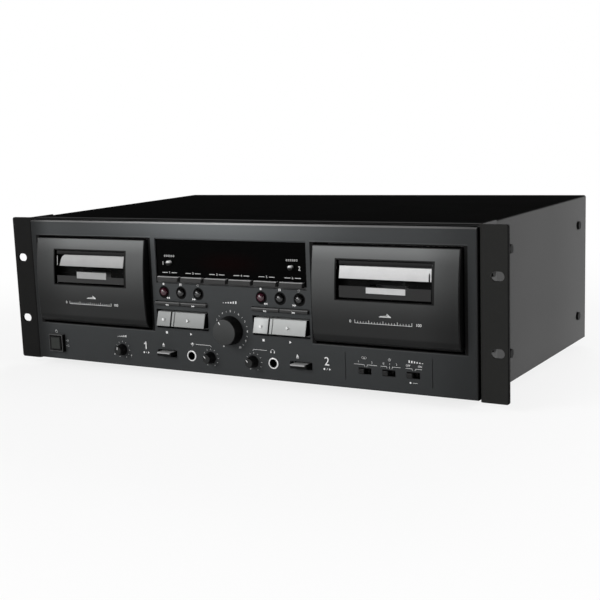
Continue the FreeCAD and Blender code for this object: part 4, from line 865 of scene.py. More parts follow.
class Bench:
    """Modelling helpers. Every size and place is in millimetres."""

    FACING = 0.9
    SMOOTH_ANGLE = 35.0

    @staticmethod
    def clear() -> None:
        """Leave edit mode and let go of everything."""
        if bpy.context.object is not None and bpy.context.object.mode != "OBJECT":
            bpy.ops.object.mode_set(mode="OBJECT")
        bpy.ops.object.select_all(action="DESELECT")

    @staticmethod
    def settle(name: str) -> bpy.types.Object:
        """Name the active piece and put its origin at the part's origin, unturned.

        Args:
            name: The piece's name.

        Returns:
            The piece.
        """
        piece = bpy.context.object
        piece.name = name
        piece.data.name = name
        bpy.ops.object.transform_apply(location=True, rotation=True, scale=True)
        return piece

    @staticmethod
    def choose(wanted: Callable[[bmesh.types.BMFace], bool]) -> None:
        """In edit mode, select only the faces that are wanted."""
        bpy.ops.mesh.select_mode(type="FACE")
        bpy.ops.mesh.select_all(action="DESELECT")
        mesh = bmesh.from_edit_mesh(bpy.context.object.data)
        for face in mesh.faces:
            if wanted(face):
                face.select_set(True)
        bmesh.update_edit_mesh(bpy.context.object.data)

    @staticmethod
    def outward() -> None:
        """In edit mode, turn every normal outward, and leave edit mode."""
        bpy.ops.mesh.select_all(action="SELECT")
        bpy.ops.mesh.normals_make_consistent(inside=False)
        bpy.ops.object.mode_set(mode="OBJECT")

    @staticmethod
    def slab(centre: Point, size: Point, turn: float = 0.0) -> bpy.types.Object:
        """A box.

        Args:
            centre: Its middle.
            size: Its size across, back and up.
            turn: How far it is turned from level, in radians, its right end upward.

        Returns:
            The box.
        """
        Bench.clear()
        bpy.ops.mesh.primitive_cube_add(
            size=1.0, location=[place * MM for place in centre], rotation=(0.0, -turn, 0.0),
            scale=[side * MM for side in size],
        )
        return Bench.settle("mark")

    @staticmethod
    def drum(sides: int, centre: Point, radius: float, thick: float) -> None:
        """Add a round or many-sided plate that faces forward.

        Args:
            sides: How many sides it has.
            centre: Its middle.
            radius: From its middle to a corner.
            thick: How thick it is, front to back.
        """
        Bench.clear()
        bpy.ops.mesh.primitive_cylinder_add(
            vertices=sides, radius=radius * MM, depth=thick * MM,
            location=[place * MM for place in centre], rotation=(math.pi / 2, 0, 0),
        )

    @staticmethod
    def washer(centre: Point, outer: float, inner: float, thick: float, sides: int = 48) -> bpy.types.Object:
        """A flat ring round the front-to-back direction.

        Args:
            centre: Its middle.
            outer: Its outer radius.
            inner: The radius of its hole.
            thick: How thick it is.
            sides: How many sides it has.

        Returns:
            The ring.
        """
        Bench.drum(sides, centre, outer, thick)
        piece = Bench.settle("ring")
        bpy.ops.object.mode_set(mode="EDIT")
        for side in (-1.0, 1.0):
            Bench.choose(lambda face: face.normal.y * side > Bench.FACING)
            bpy.ops.mesh.inset(thickness=(outer - inner) * MM)
        Bench.choose(lambda face: len(face.verts) == sides)
        bpy.ops.mesh.bridge_edge_loops()
        Bench.outward()
        return piece

    @staticmethod
    def plate(
        name: str, corners: list[Span], front: Callable[[float], float], thick: float,
    ) -> bpy.types.Object:
        """A thin plate with an outline of its own that follows a surface curved from top to bottom.

        Args:
            name: Its name.
            corners: Its outline, across and up.
            front: Where its front is, front to back, at a height.
            thick: How thick it is.

        Returns:
            The plate.
        """
        Bench.clear()
        bpy.ops.mesh.primitive_circle_add(vertices=len(corners), radius=MM, fill_type="NGON")
        piece = Bench.settle(name)
        bpy.ops.object.mode_set(mode="EDIT")
        mesh = bmesh.from_edit_mesh(piece.data)
        mesh.verts.ensure_lookup_table()
        for vertex, (x, z) in zip(mesh.verts, corners):
            vertex.co = (x * MM, front(z) * MM, z * MM)
        bmesh.update_edit_mesh(piece.data)
        bpy.ops.mesh.select_all(action="SELECT")
        bpy.ops.mesh.extrude_region_move(TRANSFORM_OT_translate={"value": (0.0, thick * MM, 0.0)})
        Bench.outward()
        return piece

    @staticmethod
    def joined(name: str, pieces: list[bpy.types.Object]) -> bpy.types.Object:
        """Several pieces as one.

        Args:
            name: The name of the whole.
            pieces: Its pieces.

        Returns:
            The whole.
        """
        Bench.clear()
        for piece in pieces:
            piece.select_set(True)
        bpy.context.view_layer.objects.active = pieces[0]
        if len(pieces) > 1:
            bpy.ops.object.join()
        return Bench.settle(name)

    @staticmethod
    def fit(piece: bpy.types.Object, finish: bpy.types.Material, body: str, slot: str) -> None:
        """Finish a new piece, smooth its soft edges and fasten it to its body.

        Args:
            piece: The piece.
            finish: Its material.
            body: The body that it moves with.
            slot: The record's slot that its finish belongs to; not used.
        """
        coat(piece, finish)
        Bench.clear()
        bpy.context.view_layer.objects.active = piece
        piece.select_set(True)
        bpy.ops.object.shade_smooth_by_angle(angle=math.radians(Bench.SMOOTH_ANGLE))
        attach(piece, body)


def coat(piece: bpy.types.Object, finish: bpy.types.Material) -> None:
    """Give a piece its one finish."""
    piece.data.materials.clear()
    piece.data.materials.append(finish)


def paint(frame: dict, finish: bpy.types.Material, *names: str) -> None:
    """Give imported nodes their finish."""
    for name in names:
        coat(frame["nodes"][name], finish)


class Printer:
    """Printed marks on a face that looks forward or back, gathered into one thin piece."""

    STROKE = 0.3
    DOT_SIDES = 20
    RING_STEP = 22.5
    DIGIT_SHARE = 0.69
    TEXT_STEPS = 4

    def __init__(
        self, name: str, face: float, height: float = 0.04, depth: float = 0.1, forward: bool = True,
    ) -> None:
        """Start an empty sheet of marks.

        Args:
            name: Name of the finished piece.
            face: Place of the printed face, front to back.
            height: How far the marks stand out.
            depth: How far they reach into the face.
            forward: Whether the face looks forward.
        """
        self.name = name
        self.forward = forward
        outward = -1.0 if forward else 1.0
        front, back = sorted((face + outward * height, face - outward * depth))
        self.middle = (front + back) / 2
        self.thick = back - front
        self.marks: list[bpy.types.Object] = []

    def bar(self, xs: Span, zs: Span) -> None:
        """A filled box."""
        centre = ((xs[0] + xs[1]) / 2, self.middle, (zs[0] + zs[1]) / 2)
        self.marks.append(Bench.slab(centre, (xs[1] - xs[0], self.thick, zs[1] - zs[0])))

    def row(self, start: Span, step: float, width: float, heights: Span, count: int) -> None:
        """A row of bars that grow or shrink evenly.

        Args:
            start: The lower left corner of the first bar.
            step: From one bar to the next.
            width: Width of a bar.
            heights: Height of the first bar, and how much higher each next one is.
            count: How many bars there are.
        """
        for index in range(count):
            left, height = start[0] + index * step, heights[0] + index * heights[1]
            self.bar((left, left + width), (start[1], start[1] + height))

    def stroke(self, start: Span, end: Span, width: float = STROKE) -> None:
        """A straight line.

        Args:
            start: Where it starts, across and up.
            end: Where it ends.
            width: Its width.
        """
        run, rise = end[0] - start[0], end[1] - start[1]
        centre = ((start[0] + end[0]) / 2, self.middle, (start[1] + end[1]) / 2)
        size = (math.hypot(run, rise) + width, self.thick, width)
        self.marks.append(Bench.slab(centre, size, math.atan2(rise, run)))

    def path(self, points: list[Span], width: float = STROKE) -> None:
        """A line through several points."""
        for start, end in zip(points, points[1:]):
            self.stroke(start, end, width)

    def shape(self, corners: int, centre: Span, radius: float, turn: float) -> None:
        """A filled regular shape.

        Args:
            corners: How many corners it has.
            centre: Its middle, across and up.
            radius: From its middle to a corner.
            turn: How far its first corner is turned from straight up, in degrees, clockwise.
        """
        Bench.drum(corners, (centre[0], self.middle, centre[1]), radius, self.thick)
        bpy.ops.object.transform_apply(location=False, rotation=True, scale=True)
        bpy.context.object.rotation_euler = (0.0, math.radians(turn), 0.0)
        self.marks.append(Bench.settle("mark"))

    def dot(self, centre: Span, radius: float) -> None:
        """A filled circle."""
        self.shape(self.DOT_SIDES, centre, radius, 0)

    def arrow(self, centre: Span, radius: float, turn: float) -> None:
        """A filled triangle that points up at 0 degrees and right at 90."""
        self.shape(3, centre, radius, turn)

    def arrows(self, centre: Span, radius: float, turn: float, spread: float) -> None:
        """Two arrows side by side, each at a spread from the middle between them."""
        for shift in (-spread, spread):
            self.arrow((centre[0] + shift, centre[1]), radius, turn)

    def ring(
        self, centre: Span, radius: float, width: float = STROKE, first: float = 0.0, last: float = 360.0,
    ) -> None:
        """A circle or part of one, as short strokes.

        Args:
            centre: Its middle, across and up.
            radius: Its radius.
            width: Width of the line.
            first: Where it starts, in degrees clockwise from straight up.
            last: Where it ends.
        """
        steps = max(4, round((last - first) / self.RING_STEP))
        angles = [first + (last - first) * index / steps for index in range(steps + 1)]
        self.path([around(centre, radius, angle) for angle in angles], width)

    def ticks(
        self, centre: Span, inner: float, outer: float, angles: list[float], width: float = STROKE,
    ) -> None:
        """Short radial lines, at angles in degrees clockwise from straight up."""
        for angle in angles:
            self.stroke(around(centre, inner, angle), around(centre, outer, angle), width)

    def words(self, text: str, centre: Span, height: float) -> None:
        """Plain numbers or a switch's two words.

        Args:
            text: What is written.
            centre: The middle of the line, across and up.
            height: Height of a digit.
        """
        Bench.clear()
        bpy.ops.object.text_add()
        line = bpy.context.object
        line.data.body = text
        line.data.size = height / self.DIGIT_SHARE * MM
        line.data.align_x = "CENTER"
        line.data.align_y = "CENTER"
        line.data.extrude = self.thick / 2 * MM
        line.data.resolution_u = self.TEXT_STEPS
        bpy.ops.object.convert(target="MESH")
        mark = bpy.context.object
        mark.rotation_euler = (math.pi / 2, 0.0, 0.0 if self.forward else math.pi)
        mark.location = (centre[0] * MM, self.middle * MM, centre[1] * MM)
        self.marks.append(Bench.settle("mark"))

    def labels(self, texts: dict[float, str], up: float, height: float) -> None:
        """Several short texts in one line, given by their places across."""
        for across, text in texts.items():
            self.words(text, (across, up), height)

    def done(self, ink: bpy.types.Material, body: str) -> None:
        """Gather the marks into one piece.

        Args:
            ink: Its finish.
            body: The body that it moves with.
        """
        piece = Bench.joined(self.name, self.marks)
        coat(piece, ink)
        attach(piece, body)
        log.info("%s: %d marks", self.name, len(self.marks))


@dataclass
class CaseShell:
    """Cover, chassis, rack ears, screws, feet and the rear sockets."""

    jack_columns: tuple[float, ...] = (-120.0, -102.0, -84.0, -66.0)
    jack_rows: tuple[float, ...] = (65.5, 87.5)
    jack_radius: float = 4.15
    ring_outer: float = 5.2
    ring_gap: float = 0.75
    ring_thick: float = 1.0
    digit_z: float = 99.5
    digit_height: float = 3.0
    pair_z: float = 56.5
    pair_reach: float = 6.0
    mains_sign: Span = (170.0, 66.0)
    mains_radius: float = 2.4
    mains_stroke: float = 1.1
    line: float = 0.4

    @property
    def rear_face(self) -> float:
        """Where the rear wall's face is, front to back."""
        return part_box("top_cover")[1].y / MM

    def build(self, frame: dict, finish: Finishes) -> None:
        """Paint the shell and fit its rings and rear marks.

        Args:
            finish: The finishes.
        """
        paint(frame, finish.cover, "top_cover")
        paint(frame, finish.pan, "chassis_pan")
        paint(frame, finish.ear, "rack_ear_left", "rack_ear_right")
        paint(frame, finish.screw, "case_screws")
        paint(frame, finish.foot, "feet")
        paint(frame, finish.socket, "mains_inlet")
        paint(frame, finish.line_jack, "line_jacks")
        self.rings(finish)
        self.rear_marks(finish)
        log.info("case shell done")

    def rings(self, finish: Finishes) -> None:
        """Coloured rings at the feet of the line sockets, red in the lower row and white in the upper one."""
        middle = self.rear_face + self.ring_gap + self.ring_thick / 2
        for row, (height, colour) in enumerate(zip(self.jack_rows, (finish.red_ring, finish.white_ring))):
            rings = [
                Bench.washer((column, middle, height), self.ring_outer, self.jack_radius, self.ring_thick)
                for column in self.jack_columns
            ]
            Bench.fit(Bench.joined(f"line_jack_rings_{row + 1}", rings), colour, "case", "jack_black")

    def rear_marks(self, finish: Finishes) -> None:
        """Numbers over the line sockets, a line under each pair, and a sign at the mains inlet."""
        sheet = Printer("rear_marks", self.rear_face, forward=False)
        for index, column in enumerate(self.jack_columns):
            sheet.words(str(index + 1), (column, self.digit_z), self.digit_height)
        for first, second in (self.jack_columns[:2], self.jack_columns[2:]):
            ends = (first - self.pair_reach, self.pair_z), (second + self.pair_reach, self.pair_z)
            sheet.stroke(*ends, self.line)
        sheet.ring(self.mains_sign, self.mains_radius, self.line)
        x, z = self.mains_sign
        sheet.stroke((x, z - self.mains_stroke), (x, z + self.mains_stroke), self.line)
        sheet.done(finish.ink, "case")


@dataclass
class FrontPanel:
    """The front panel and all that is printed on it."""

    dial: Span = (0.6, 46.1)
    dial_step: float = 30.0
    digit_ring: float = 16.2
    tick_reach: float = 0.5
    small_dials: tuple[Span, ...] = ((22.0, 21.0), (-21.3, 21.0), (-117.0, 21.0))
    small_ticks: Span = (7.1, 7.9)
    level_bars: Span = (-6.6, 68.9)
    pitch_bars: Span = (-122.0, 32.6)
    bar_growth: Span = (0.4, 0.34)
    pitch_ends_z: float = 16.2
    scale_digit: float = 1.5
    small_digit: float = 1.7
    deck_digit: float = 6.8
    decks: Span = (-90.5, 91.0)
    deck_digit_z: float = 26.5
    deck_sign_z: float = 20.4
    jack_line_z: float = 31.5
    eject_signs: Span = (-71.1, 64.0)
    eject_z: float = 29.1
    power_sign: Span = (-195.0, 32.6)
    power_states: Span = (24.8, 19.8)
    button_signs_z: float = 82.6
    winding_signs_z: float = 70.5
    key_signs_z: float = 40.0
    bracket_z: float = 26.9
    bracket_tip: float = 0.6
    brackets: tuple[Point, ...] = (
        (115.4, 124.2, 25.4), (135.2, 127.1, 25.4), (138.6, 143.4, 25.5), (155.2, 148.6, 25.5),
        (159.8, 164.8, 25.6), (173.0, 168.1, 25.6),
    )
    switch_words_z: float = 29.0
    switch_signs_z: float = 32.4
    switch_foot_z: float = 15.8
    line: float = 0.28
    thin: float = 0.24
    hair: float = 0.22

    @property
    def face(self) -> float:
        """Where the panel's face is, front to back."""
        return panel_face()

    def build(self, frame: dict, finish: Finishes) -> None:
        """Paint the panel and print it.

        Args:
            finish: The finishes.
        """
        paint(frame, finish.panel, "front_panel")
        self.print_sheet("dial_marks", finish, self.dials, self.bars)
        self.print_sheet(
            "socket_marks", finish, self.microphone, self.headphones, self.levers, self.deck_numbers,
            self.power,
        )
        self.print_sheet("transport_marks", finish, self.transport)
        self.print_sheet("switch_marks", finish, self.switch_words, self.switch_signs)
        log.info("front panel done")

    def print_sheet(self, name: str, finish: Finishes, *parts: Callable[[Printer], None]) -> None:
        """Print one sheet of marks on the panel.

        Args:
            name: Name of the sheet.
            finish: The finishes.
            parts: What draws its marks.
        """
        sheet = Printer(name, self.face)
        for part in parts:
            part(sheet)
        sheet.done(finish.ink, "case")

    def dials(self, sheet: Printer) -> None:
        """Numbers round the large knob, with ticks between them."""
        sweep = [self.dial_step * (index - 5) for index in range(11)]
        for number, angle in enumerate(sweep):
            sheet.words(str(number), around(self.dial, self.digit_ring, angle), self.small_digit)
        between = [angle + self.dial_step / 2 for angle in sweep[:-1]]
        inner, outer = self.digit_ring - self.tick_reach, self.digit_ring + self.tick_reach
        sheet.ticks(self.dial, inner, outer, between, self.hair)
        for centre in self.small_dials:
            sheet.ticks(centre, *self.small_ticks, sweep, self.thin)

    def bars(self, sheet: Printer) -> None:
        """Bars that grow over the large knob and the pitch knob, and the ends of the pitch scale."""
        sheet.row(self.level_bars, 2.5, 1.2, self.bar_growth, 6)
        sheet.row(self.pitch_bars, 2.2, 1.0, self.bar_growth, 5)
        sheet.labels({-126.5: "0", -107.6: "9"}, self.pitch_ends_z, self.scale_digit)

    def microphone(self, sheet: Printer) -> None:
        """A microphone's sign, with a line from the socket to its knob."""
        x, z = -40.0, self.jack_line_z
        sheet.path([(-36.4, z), (-21.6, z), (-20.5, z - 1.0)], self.line)
        sheet.dot((x, z + 0.5), 0.85)
        sheet.ring((x, z + 0.4), 1.5, 0.25, 90, 270)
        sheet.stroke((x, z - 1.1), (x, z - 1.9), 0.25)

    def headphones(self, sheet: Printer) -> None:
        """The sign of headphones, with a line from the socket to its knob."""
        z = self.jack_line_z
        sheet.path([(34.8, z), (22.2, z), (21.2, z - 1.0)], self.line)
        sheet.ring((40.5, z - 0.5), 1.7, self.line, -90, 90)
        for left in (38.4, 41.7):
            sheet.bar((left, left + 0.9), (z - 1.8, z - 0.3))

    def levers(self, sheet: Printer) -> None:
        """The sign of ejecting over each lever."""
        for x in self.eject_signs:
            sheet.arrow((x, self.eject_z), 1.45, 0)
            sheet.bar((x - 1.25, x + 1.25), (self.eject_z - 1.8, self.eject_z - 1.3))

    def deck_numbers(self, sheet: Printer) -> None:
        """The number of each deck, with a dot and an arrow for record and play."""
        for number, x in enumerate(self.decks, 1):
            sheet.words(str(number), (x, self.deck_digit_z), self.deck_digit)
            z = self.deck_sign_z
            sheet.dot((x - 2.4, z), 0.8)
            sheet.arrow((x + 2.4, z), 1.1, 90)
            sheet.stroke((x - 0.5, z - 0.7), (x + 0.5, z + 0.7), self.hair)
        left = self.decks[0]
        flag = (left - 0.1, self.deck_digit_z + 3.0), (left - 1.8, self.deck_digit_z + 1.6)
        sheet.stroke(*flag, 0.7)

    def power(self, sheet: Printer) -> None:
        """The power sign over the button, and the signs of on and off beside it."""
        x, z = self.power_sign
        sheet.ring(self.power_sign, 1.25, self.line, 40, 320)
        sheet.stroke((x, z + 0.3), (x, z + 1.6), self.line)
        x, (on, off) = -181.5, self.power_states
        sheet.stroke((x, on - 0.8), (x, on + 0.8), 0.3)
        sheet.stroke((x - 2.5, on), (x - 1.3, on), self.hair)
        sheet.ring((x, off), 0.85, self.line)
        sheet.stroke((x - 2.5, off), (x - 1.4, off), self.hair)

    def transport(self, sheet: Printer) -> None:
        """Marks round the buttons and keys of both decks."""
        z = self.button_signs_z
        for buttons, stop_x, play_x, keys in (
                ((-67.4, -49.4, -31.4), -66.6, -41.1, (-62.9, -36.2)),
                ((31.4, 49.4, 67.4), 32.2, 57.6, (35.9, 62.6))):
            record, pause, mute = buttons
            sheet.dot((record, z), 1.0)
            for left in (pause - 1.0, pause + 0.3):
                sheet.bar((left, left + 0.7), (z - 1.0, z + 1.0))
            sheet.ring((mute, z), 0.85, 0.35)
            sheet.bar((stop_x - 1.0, stop_x + 1.0), (self.key_signs_z - 1.0, self.key_signs_z + 1.0))
            sheet.arrow((play_x, self.key_signs_z), 1.35, 90)
            for x, turn in zip(keys, (-90, 90)):
                sheet.arrows((x, self.winding_signs_z), 1.1, turn, 0.9)

    def switch_words(self, sheet: Printer) -> None:
        """Brackets over the three slide switches, with numbers and words at their ends."""
        for start, bend, tip_z in self.brackets:
            tip = bend + math.copysign(self.bracket_tip, bend - start)
            sheet.path([(start, self.bracket_z), (bend, self.bracket_z), (tip, tip_z)], self.thin)
        sheet.stroke((146.0, 25.6), (146.0, 27.1), self.thin)
        texts = {119.4: "1", 130.9: "2", 141.0: "0", 146.2: "1", 152.0: "2", 161.7: "OFF", 171.6: "ON"}
        sheet.labels(texts, self.switch_words_z, self.scale_digit)

    def switch_signs(self, sheet: Printer) -> None:
        """A tape, a clock and shrinking bars over the switches, and a dot with a line under the last."""
        z, foot = self.switch_signs_z, self.switch_foot_z
        for x in (125.4, 123.0):
            sheet.ring((x, z), 0.9, self.hair)
        sheet.stroke((123.0, z - 0.9), (125.4, z - 0.9), self.hair)
        sheet.ring((146.1, z), 1.0, self.hair)
        sheet.path([(146.1, z + 0.7), (146.1, z), (146.7, z)], 0.2)
        sheet.row((162.2, z - 1.0), 2.2, 1.0, (2.0, -0.3), 6)
        sheet.dot((163.5, foot), 0.7)
        sheet.stroke((165.6, foot), (169.0, foot), self.thin)


@dataclass
class DisplayUnit:
    """The smoked plate in the middle, its two reset buttons and its six keys."""

    keys: int = 6
    key_pitch: float = 24.5
    deck_digits: Span = (-67.8, 67.8)
    deck_digit_z: float = 100.3
    deck_digit: float = 3.2
    counters: Span = (-60.9, 60.9)
    counter_z: float = 106.7
    counter_digit: float = 1.7
    key_digit_z: float = 92.4
    key_digit: float = 1.9
    key_stroke: Span = (2.3, 7.5)
    line: float = 0.4

    def build(self, frame: dict, finish: Finishes) -> None:
        """Finish the unit and print its plate.

        Args:
            finish: The finishes.
        """
        numbers = range(1, self.keys + 1)
        paint(frame, finish.display, "display_window")
        paint(frame, finish.dome, "reset_button_1", "reset_button_2")
        paint(frame, finish.key_silver, *[f"display_key_{number}" for number in numbers])
        sheet = Printer("display_marks", front_of("display_window"))
        for number, x in enumerate(self.deck_digits, 1):
            sheet.words(str(number), (x, self.deck_digit_z), self.deck_digit)
        for x in self.counters:
            sheet.words("0 0 0 0 0 0", (x, self.counter_z), self.counter_digit)
        near, far = self.key_stroke
        for number in numbers:
            x, z = (number - (self.keys + 1) / 2) * self.key_pitch, self.key_digit_z
            sheet.words(str(number), (x, z), self.key_digit)
            sheet.stroke((x - far, z), (x - near, z), self.line)
            sheet.stroke((x + near, z), (x + far, z), self.line)
        sheet.done(finish.ink, "case")
        log.info("display unit done")


@dataclass
class CassetteBay:
    """One deck's door, its window and what is seen through it."""

    deck: Deck
    belly_z: float = 74.5
    belly_proud: float = 7.8
    face_radius: float = 230.0
    lens_setback: float = 0.35
    film_thick: float = 0.12
    film_height: float = 0.09
    film_shift: float = 1.2
    ledge_reach: float = 38.9
    ledge_heights: Span = (105.8, 109.0)
    sill_reach: float = 38.5
    sill_bottoms: Span = (80.7, 80.9)
    arrow_z: float = 67.1
    arrow_ends: Span = (-3.0, 6.8)
    arrow_peak: float = 3.6
    arrow_face_z: float = 68.3
    scale_z: float = 61.4
    scale_steps: int = 20
    scale_step: float = 2.4
    scale_digit_z: float = 62.3
    scale_digit: float = 2.2
    scale_face_z: float = 62.4

    def build(self, frame: dict, finish: Finishes) -> None:
        """Finish the bay and fit its window parts.

        Args:
            finish: The finishes.
        """
        number = self.deck.value
        paint(frame, finish.door, f"door_{number}")
        paint(frame, finish.lens, f"door_window_{number}")
        paint(frame, finish.holder, f"cassette_holder_{number}")
        paint(frame, finish.spindle, f"supply_spindle_{number}", f"take_up_spindle_{number}")
        paint(frame, finish.polished, f"capstan_{number}")
        paint(frame, finish.bridge, f"head_bridge_{number}")
        self.films(finish)
        self.arrow(finish)
        self.scale(finish)
        log.info("cassette bay %d done", number)

    def face(self, z: float) -> float:
        """Where the door's curved face is, front to back, at a height."""
        return panel_face() - self.belly_proud + (z - self.belly_z) ** 2 / (2 * self.face_radius)

    def film(self, name: str, corners: list[Span], colour: bpy.types.Material, layer: int = 0) -> None:
        """A thin film on the face of the window.

        Args:
            name: Its name.
            corners: Its outline, across from the middle of the view into the deck, and up.
            colour: Its finish.
            layer: How many films it lies on.
        """
        middle = self.deck.middle + self.film_shift
        rise = self.film_height * (layer + 1)
        plate = Bench.plate(
            f"{name}_{self.deck.value}", [(middle + x, z) for x, z in corners],
            lambda z: self.face(z) + self.lens_setback - rise, self.film_thick,
        )
        Bench.fit(plate, colour, self.deck.door_body, "lens_clear")

    def films(self, finish: Finishes) -> None:
        """The ledge, the wide stripe, the sill and the small rectangle of the window."""
        side, (bottom, top) = self.ledge_reach, self.ledge_heights
        self.film("window_ledge", [(-side, bottom), (side, bottom), (side, top), (-side, top)], finish.ledge)
        if self.deck is Deck.LEFT:
            stripe = [
                (-35.4, 95.5), (37.8, 95.5), (38.9, 105.6), (-29.7, 105.5), (-32.2, 103.9), (-33.7, 101.3),
            ]
            sliver = [(-38.3, 96.0), (-37.7, 96.0), (-37.9, 104.9), (-38.6, 103.9)]
            self.film("window_sliver", sliver, finish.mirror_film)
            sill_top, rectangle = 86.8, [(-15.1, 84.8), (18.7, 84.7), (18.8, 90.6), (-15.0, 90.7)]
        else:
            stripe = [
                (-38.6, 95.5), (36.4, 95.5), (36.4, 100.6), (37.0, 102.2), (37.7, 100.6), (37.7, 95.5),
                (38.6, 95.5), (38.5, 105.1), (-38.1, 105.2),
            ]
            edge_line = [(16.5, 89.2), (16.9, 89.2), (16.9, 95.4), (16.5, 95.4)]
            self.film("window_edge_line", edge_line, finish.sill)
            sill_top, rectangle = 89.8, [(-15.2, 84.7), (17.7, 84.5), (17.7, 89.1), (-15.2, 89.2)]
        self.film("window_stripe", stripe, finish.mirror_film)
        side, (left, right) = self.sill_reach, self.sill_bottoms
        sill = [(-side, left), (side, right), (side, sill_top), (-side, sill_top)]
        self.film("window_sill", sill, finish.sill)
        self.film("window_rectangle", rectangle, finish.mirror_film, layer=1)

    def arrow(self, finish: Finishes) -> None:
        """A half arrow under the window."""
        face = self.face(self.arrow_face_z)
        sheet = Printer(f"door_arrow_{self.deck.value}", face, height=0.07, depth=0.25)
        base = self.arrow_z
        left, right, peak = [self.deck.middle + x for x in (*self.arrow_ends, self.arrow_peak)]
        sheet.stroke((left, base), (right, base), 0.4)
        sheet.path([(right, base), (peak, base + 2.5), (peak, base + 1.0), (left + 1.0, base + 0.5)], 0.35)
        sheet.stroke((peak + 0.6, base + 0.9), (right - 0.8, base + 0.5), 0.7)
        sheet.done(finish.ink, self.deck.door_body)

    def scale(self, finish: Finishes) -> None:
        """A plain tape scale under the arrow."""
        face = self.face(self.scale_face_z)
        sheet = Printer(f"door_scale_{self.deck.value}", face, height=0.07, depth=0.3)
        middle, z = self.deck.middle, self.scale_z
        half = self.scale_steps * self.scale_step / 2
        for index in range(self.scale_steps + 1):
            x = middle - half + index * self.scale_step
            sheet.stroke((x, z), (x, z + (1.2 if index % 5 else 2.2)), 0.3)
        sheet.stroke((middle - half, z - 0.1), (middle + half, z - 0.1), 0.26)
        ends = {middle - half - 4.0: "0", middle + half + 5.5: "100"}
        sheet.labels(ends, self.scale_digit_z, self.scale_digit)
        sheet.done(finish.ink, self.deck.door_body)


@dataclass
class TransportControls:
    """One deck's round buttons, winding keys, transport keys and eject lever."""

    deck: Deck
    symbol_rise: float = 0.3
    symbol_recess: float = 0.35
    stop_half: float = 1.0
    play_radius: float = 1.5
    winding_z: float = 64.9
    winding_radius: float = 0.95
    winding_spread: float = 0.8

    def build(self, frame: dict, finish: Finishes) -> None:
        """Finish the controls and print the symbols on the keys.

        Args:
            finish: The finishes.
        """
        number = self.deck.value
        paint(frame, finish.red, f"record_button_{number}")
        paint(frame, finish.button, f"pause_button_{number}", f"mute_button_{number}")
        paint(frame, finish.winding, f"rewind_key_{number}", f"forward_key_{number}")
        paint(frame, finish.key_light, f"stop_key_{number}", f"play_key_{number}")
        paint(frame, finish.lever, f"eject_lever_{number}")
        for kind in ("stop", "play"):
            self.key_symbol(kind, finish)
        for kind, turn in (("rewind", -90), ("forward", 90)):
            self.winding_symbol(kind, turn, finish)
        log.info("transport controls %d done", number)

    def key_symbol(self, kind: str, finish: Finishes) -> None:
        """A small bright square or triangle in the middle of a large key.

        Args:
            kind: "stop" or "play".
            finish: The finishes.
        """
        name = f"{kind}_key_{self.deck.value}"
        x, z = middle_of(name)
        z += self.symbol_rise
        sheet = Printer(f"{name}_symbol", front_of(name) + self.symbol_recess, height=0.4, depth=0.6)
        if kind == "stop":
            sheet.bar((x - self.stop_half, x + self.stop_half), (z - self.stop_half, z + self.stop_half))
        else:
            sheet.arrow((x, z), self.play_radius, 90)
        sheet.done(finish.bright, name)

    def winding_symbol(self, kind: str, turn: float, finish: Finishes) -> None:
        """A double arrow on the front of a winding key.

        Args:
            kind: "rewind" or "forward".
            turn: Where it points, in degrees clockwise from straight up.
            finish: The finishes.
        """
        name = f"{kind}_key_{self.deck.value}"
        sheet = Printer(f"{name}_symbol", front_of(name), depth=0.3)
        sheet.arrows((middle_of(name)[0], self.winding_z), self.winding_radius, turn, self.winding_spread)
        sheet.done(finish.ink, name)


@dataclass(frozen=True)
class Pointer:
    """The pointer line on a knob's face."""

    knob: str
    turn: float
    start: float = 1.2
    end: float = 2.9
    width: float = 0.5
    depth: float = 0.3

    def build(self, name: str, finish: Finishes) -> None:
        """Print the pointer.

        Args:
            name: Name of the piece.
            finish: The finishes.
        """
        centre = middle_of(self.knob)
        line = Printer(name, front_of(self.knob), depth=self.depth)
        line.ticks(centre, self.start, self.end, [self.turn], self.width)
        line.done(finish.bright, self.knob)


@dataclass
class Knobs:
    """The large record level knob and the three small knobs, with their pointers."""

    large: Pointer = Pointer("record_level_knob", -30.0, start=7.6, end=9.2, width=0.8, depth=0.4)
    small: tuple[Pointer, ...] = (
        Pointer("mic_level_knob", -40.0), Pointer("phones_level_knob", -40.0), Pointer("pitch_knob", 0.0),
    )

    def build(self, frame: dict, finish: Finishes) -> None:
        """Finish the knobs.

        Args:
            finish: The finishes.
        """
        paint(frame, finish.knob, self.large.knob)
        paint(frame, finish.small_knob, *[pointer.knob for pointer in self.small])
        self.large.build("record_knob_pointer", finish)
        for pointer in self.small:
            pointer.build(f"{pointer.knob}_pointer", finish)
        log.info("knobs done")


@dataclass
class PanelFittings:
    """The jack sockets, the power button and the slide switches."""

    def build(self, frame: dict, finish: Finishes) -> None:
        """Finish the fittings.

        Args:
            finish: The finishes.
        """
        paint(frame, finish.jack, "front_jacks")
        paint(frame, finish.power, "power_button")
        paint(frame, finish.slide, *[f"slide_switch_{number}" for number in (1, 2, 3)])
        log.info("panel fittings done")


@dataclass
class Internals:
    """Boards, transformer and transport frames."""

    def build(self, frame: dict, finish: Finishes) -> None:
        """Finish what stands inside the case.

        Args:
            finish: The finishes.
        """
        paint(frame, finish.steel, "transport_frames")
        paint(frame, finish.board, "circuit_boards")
        paint(frame, finish.core, "power_transformer")
        log.info("internals done")


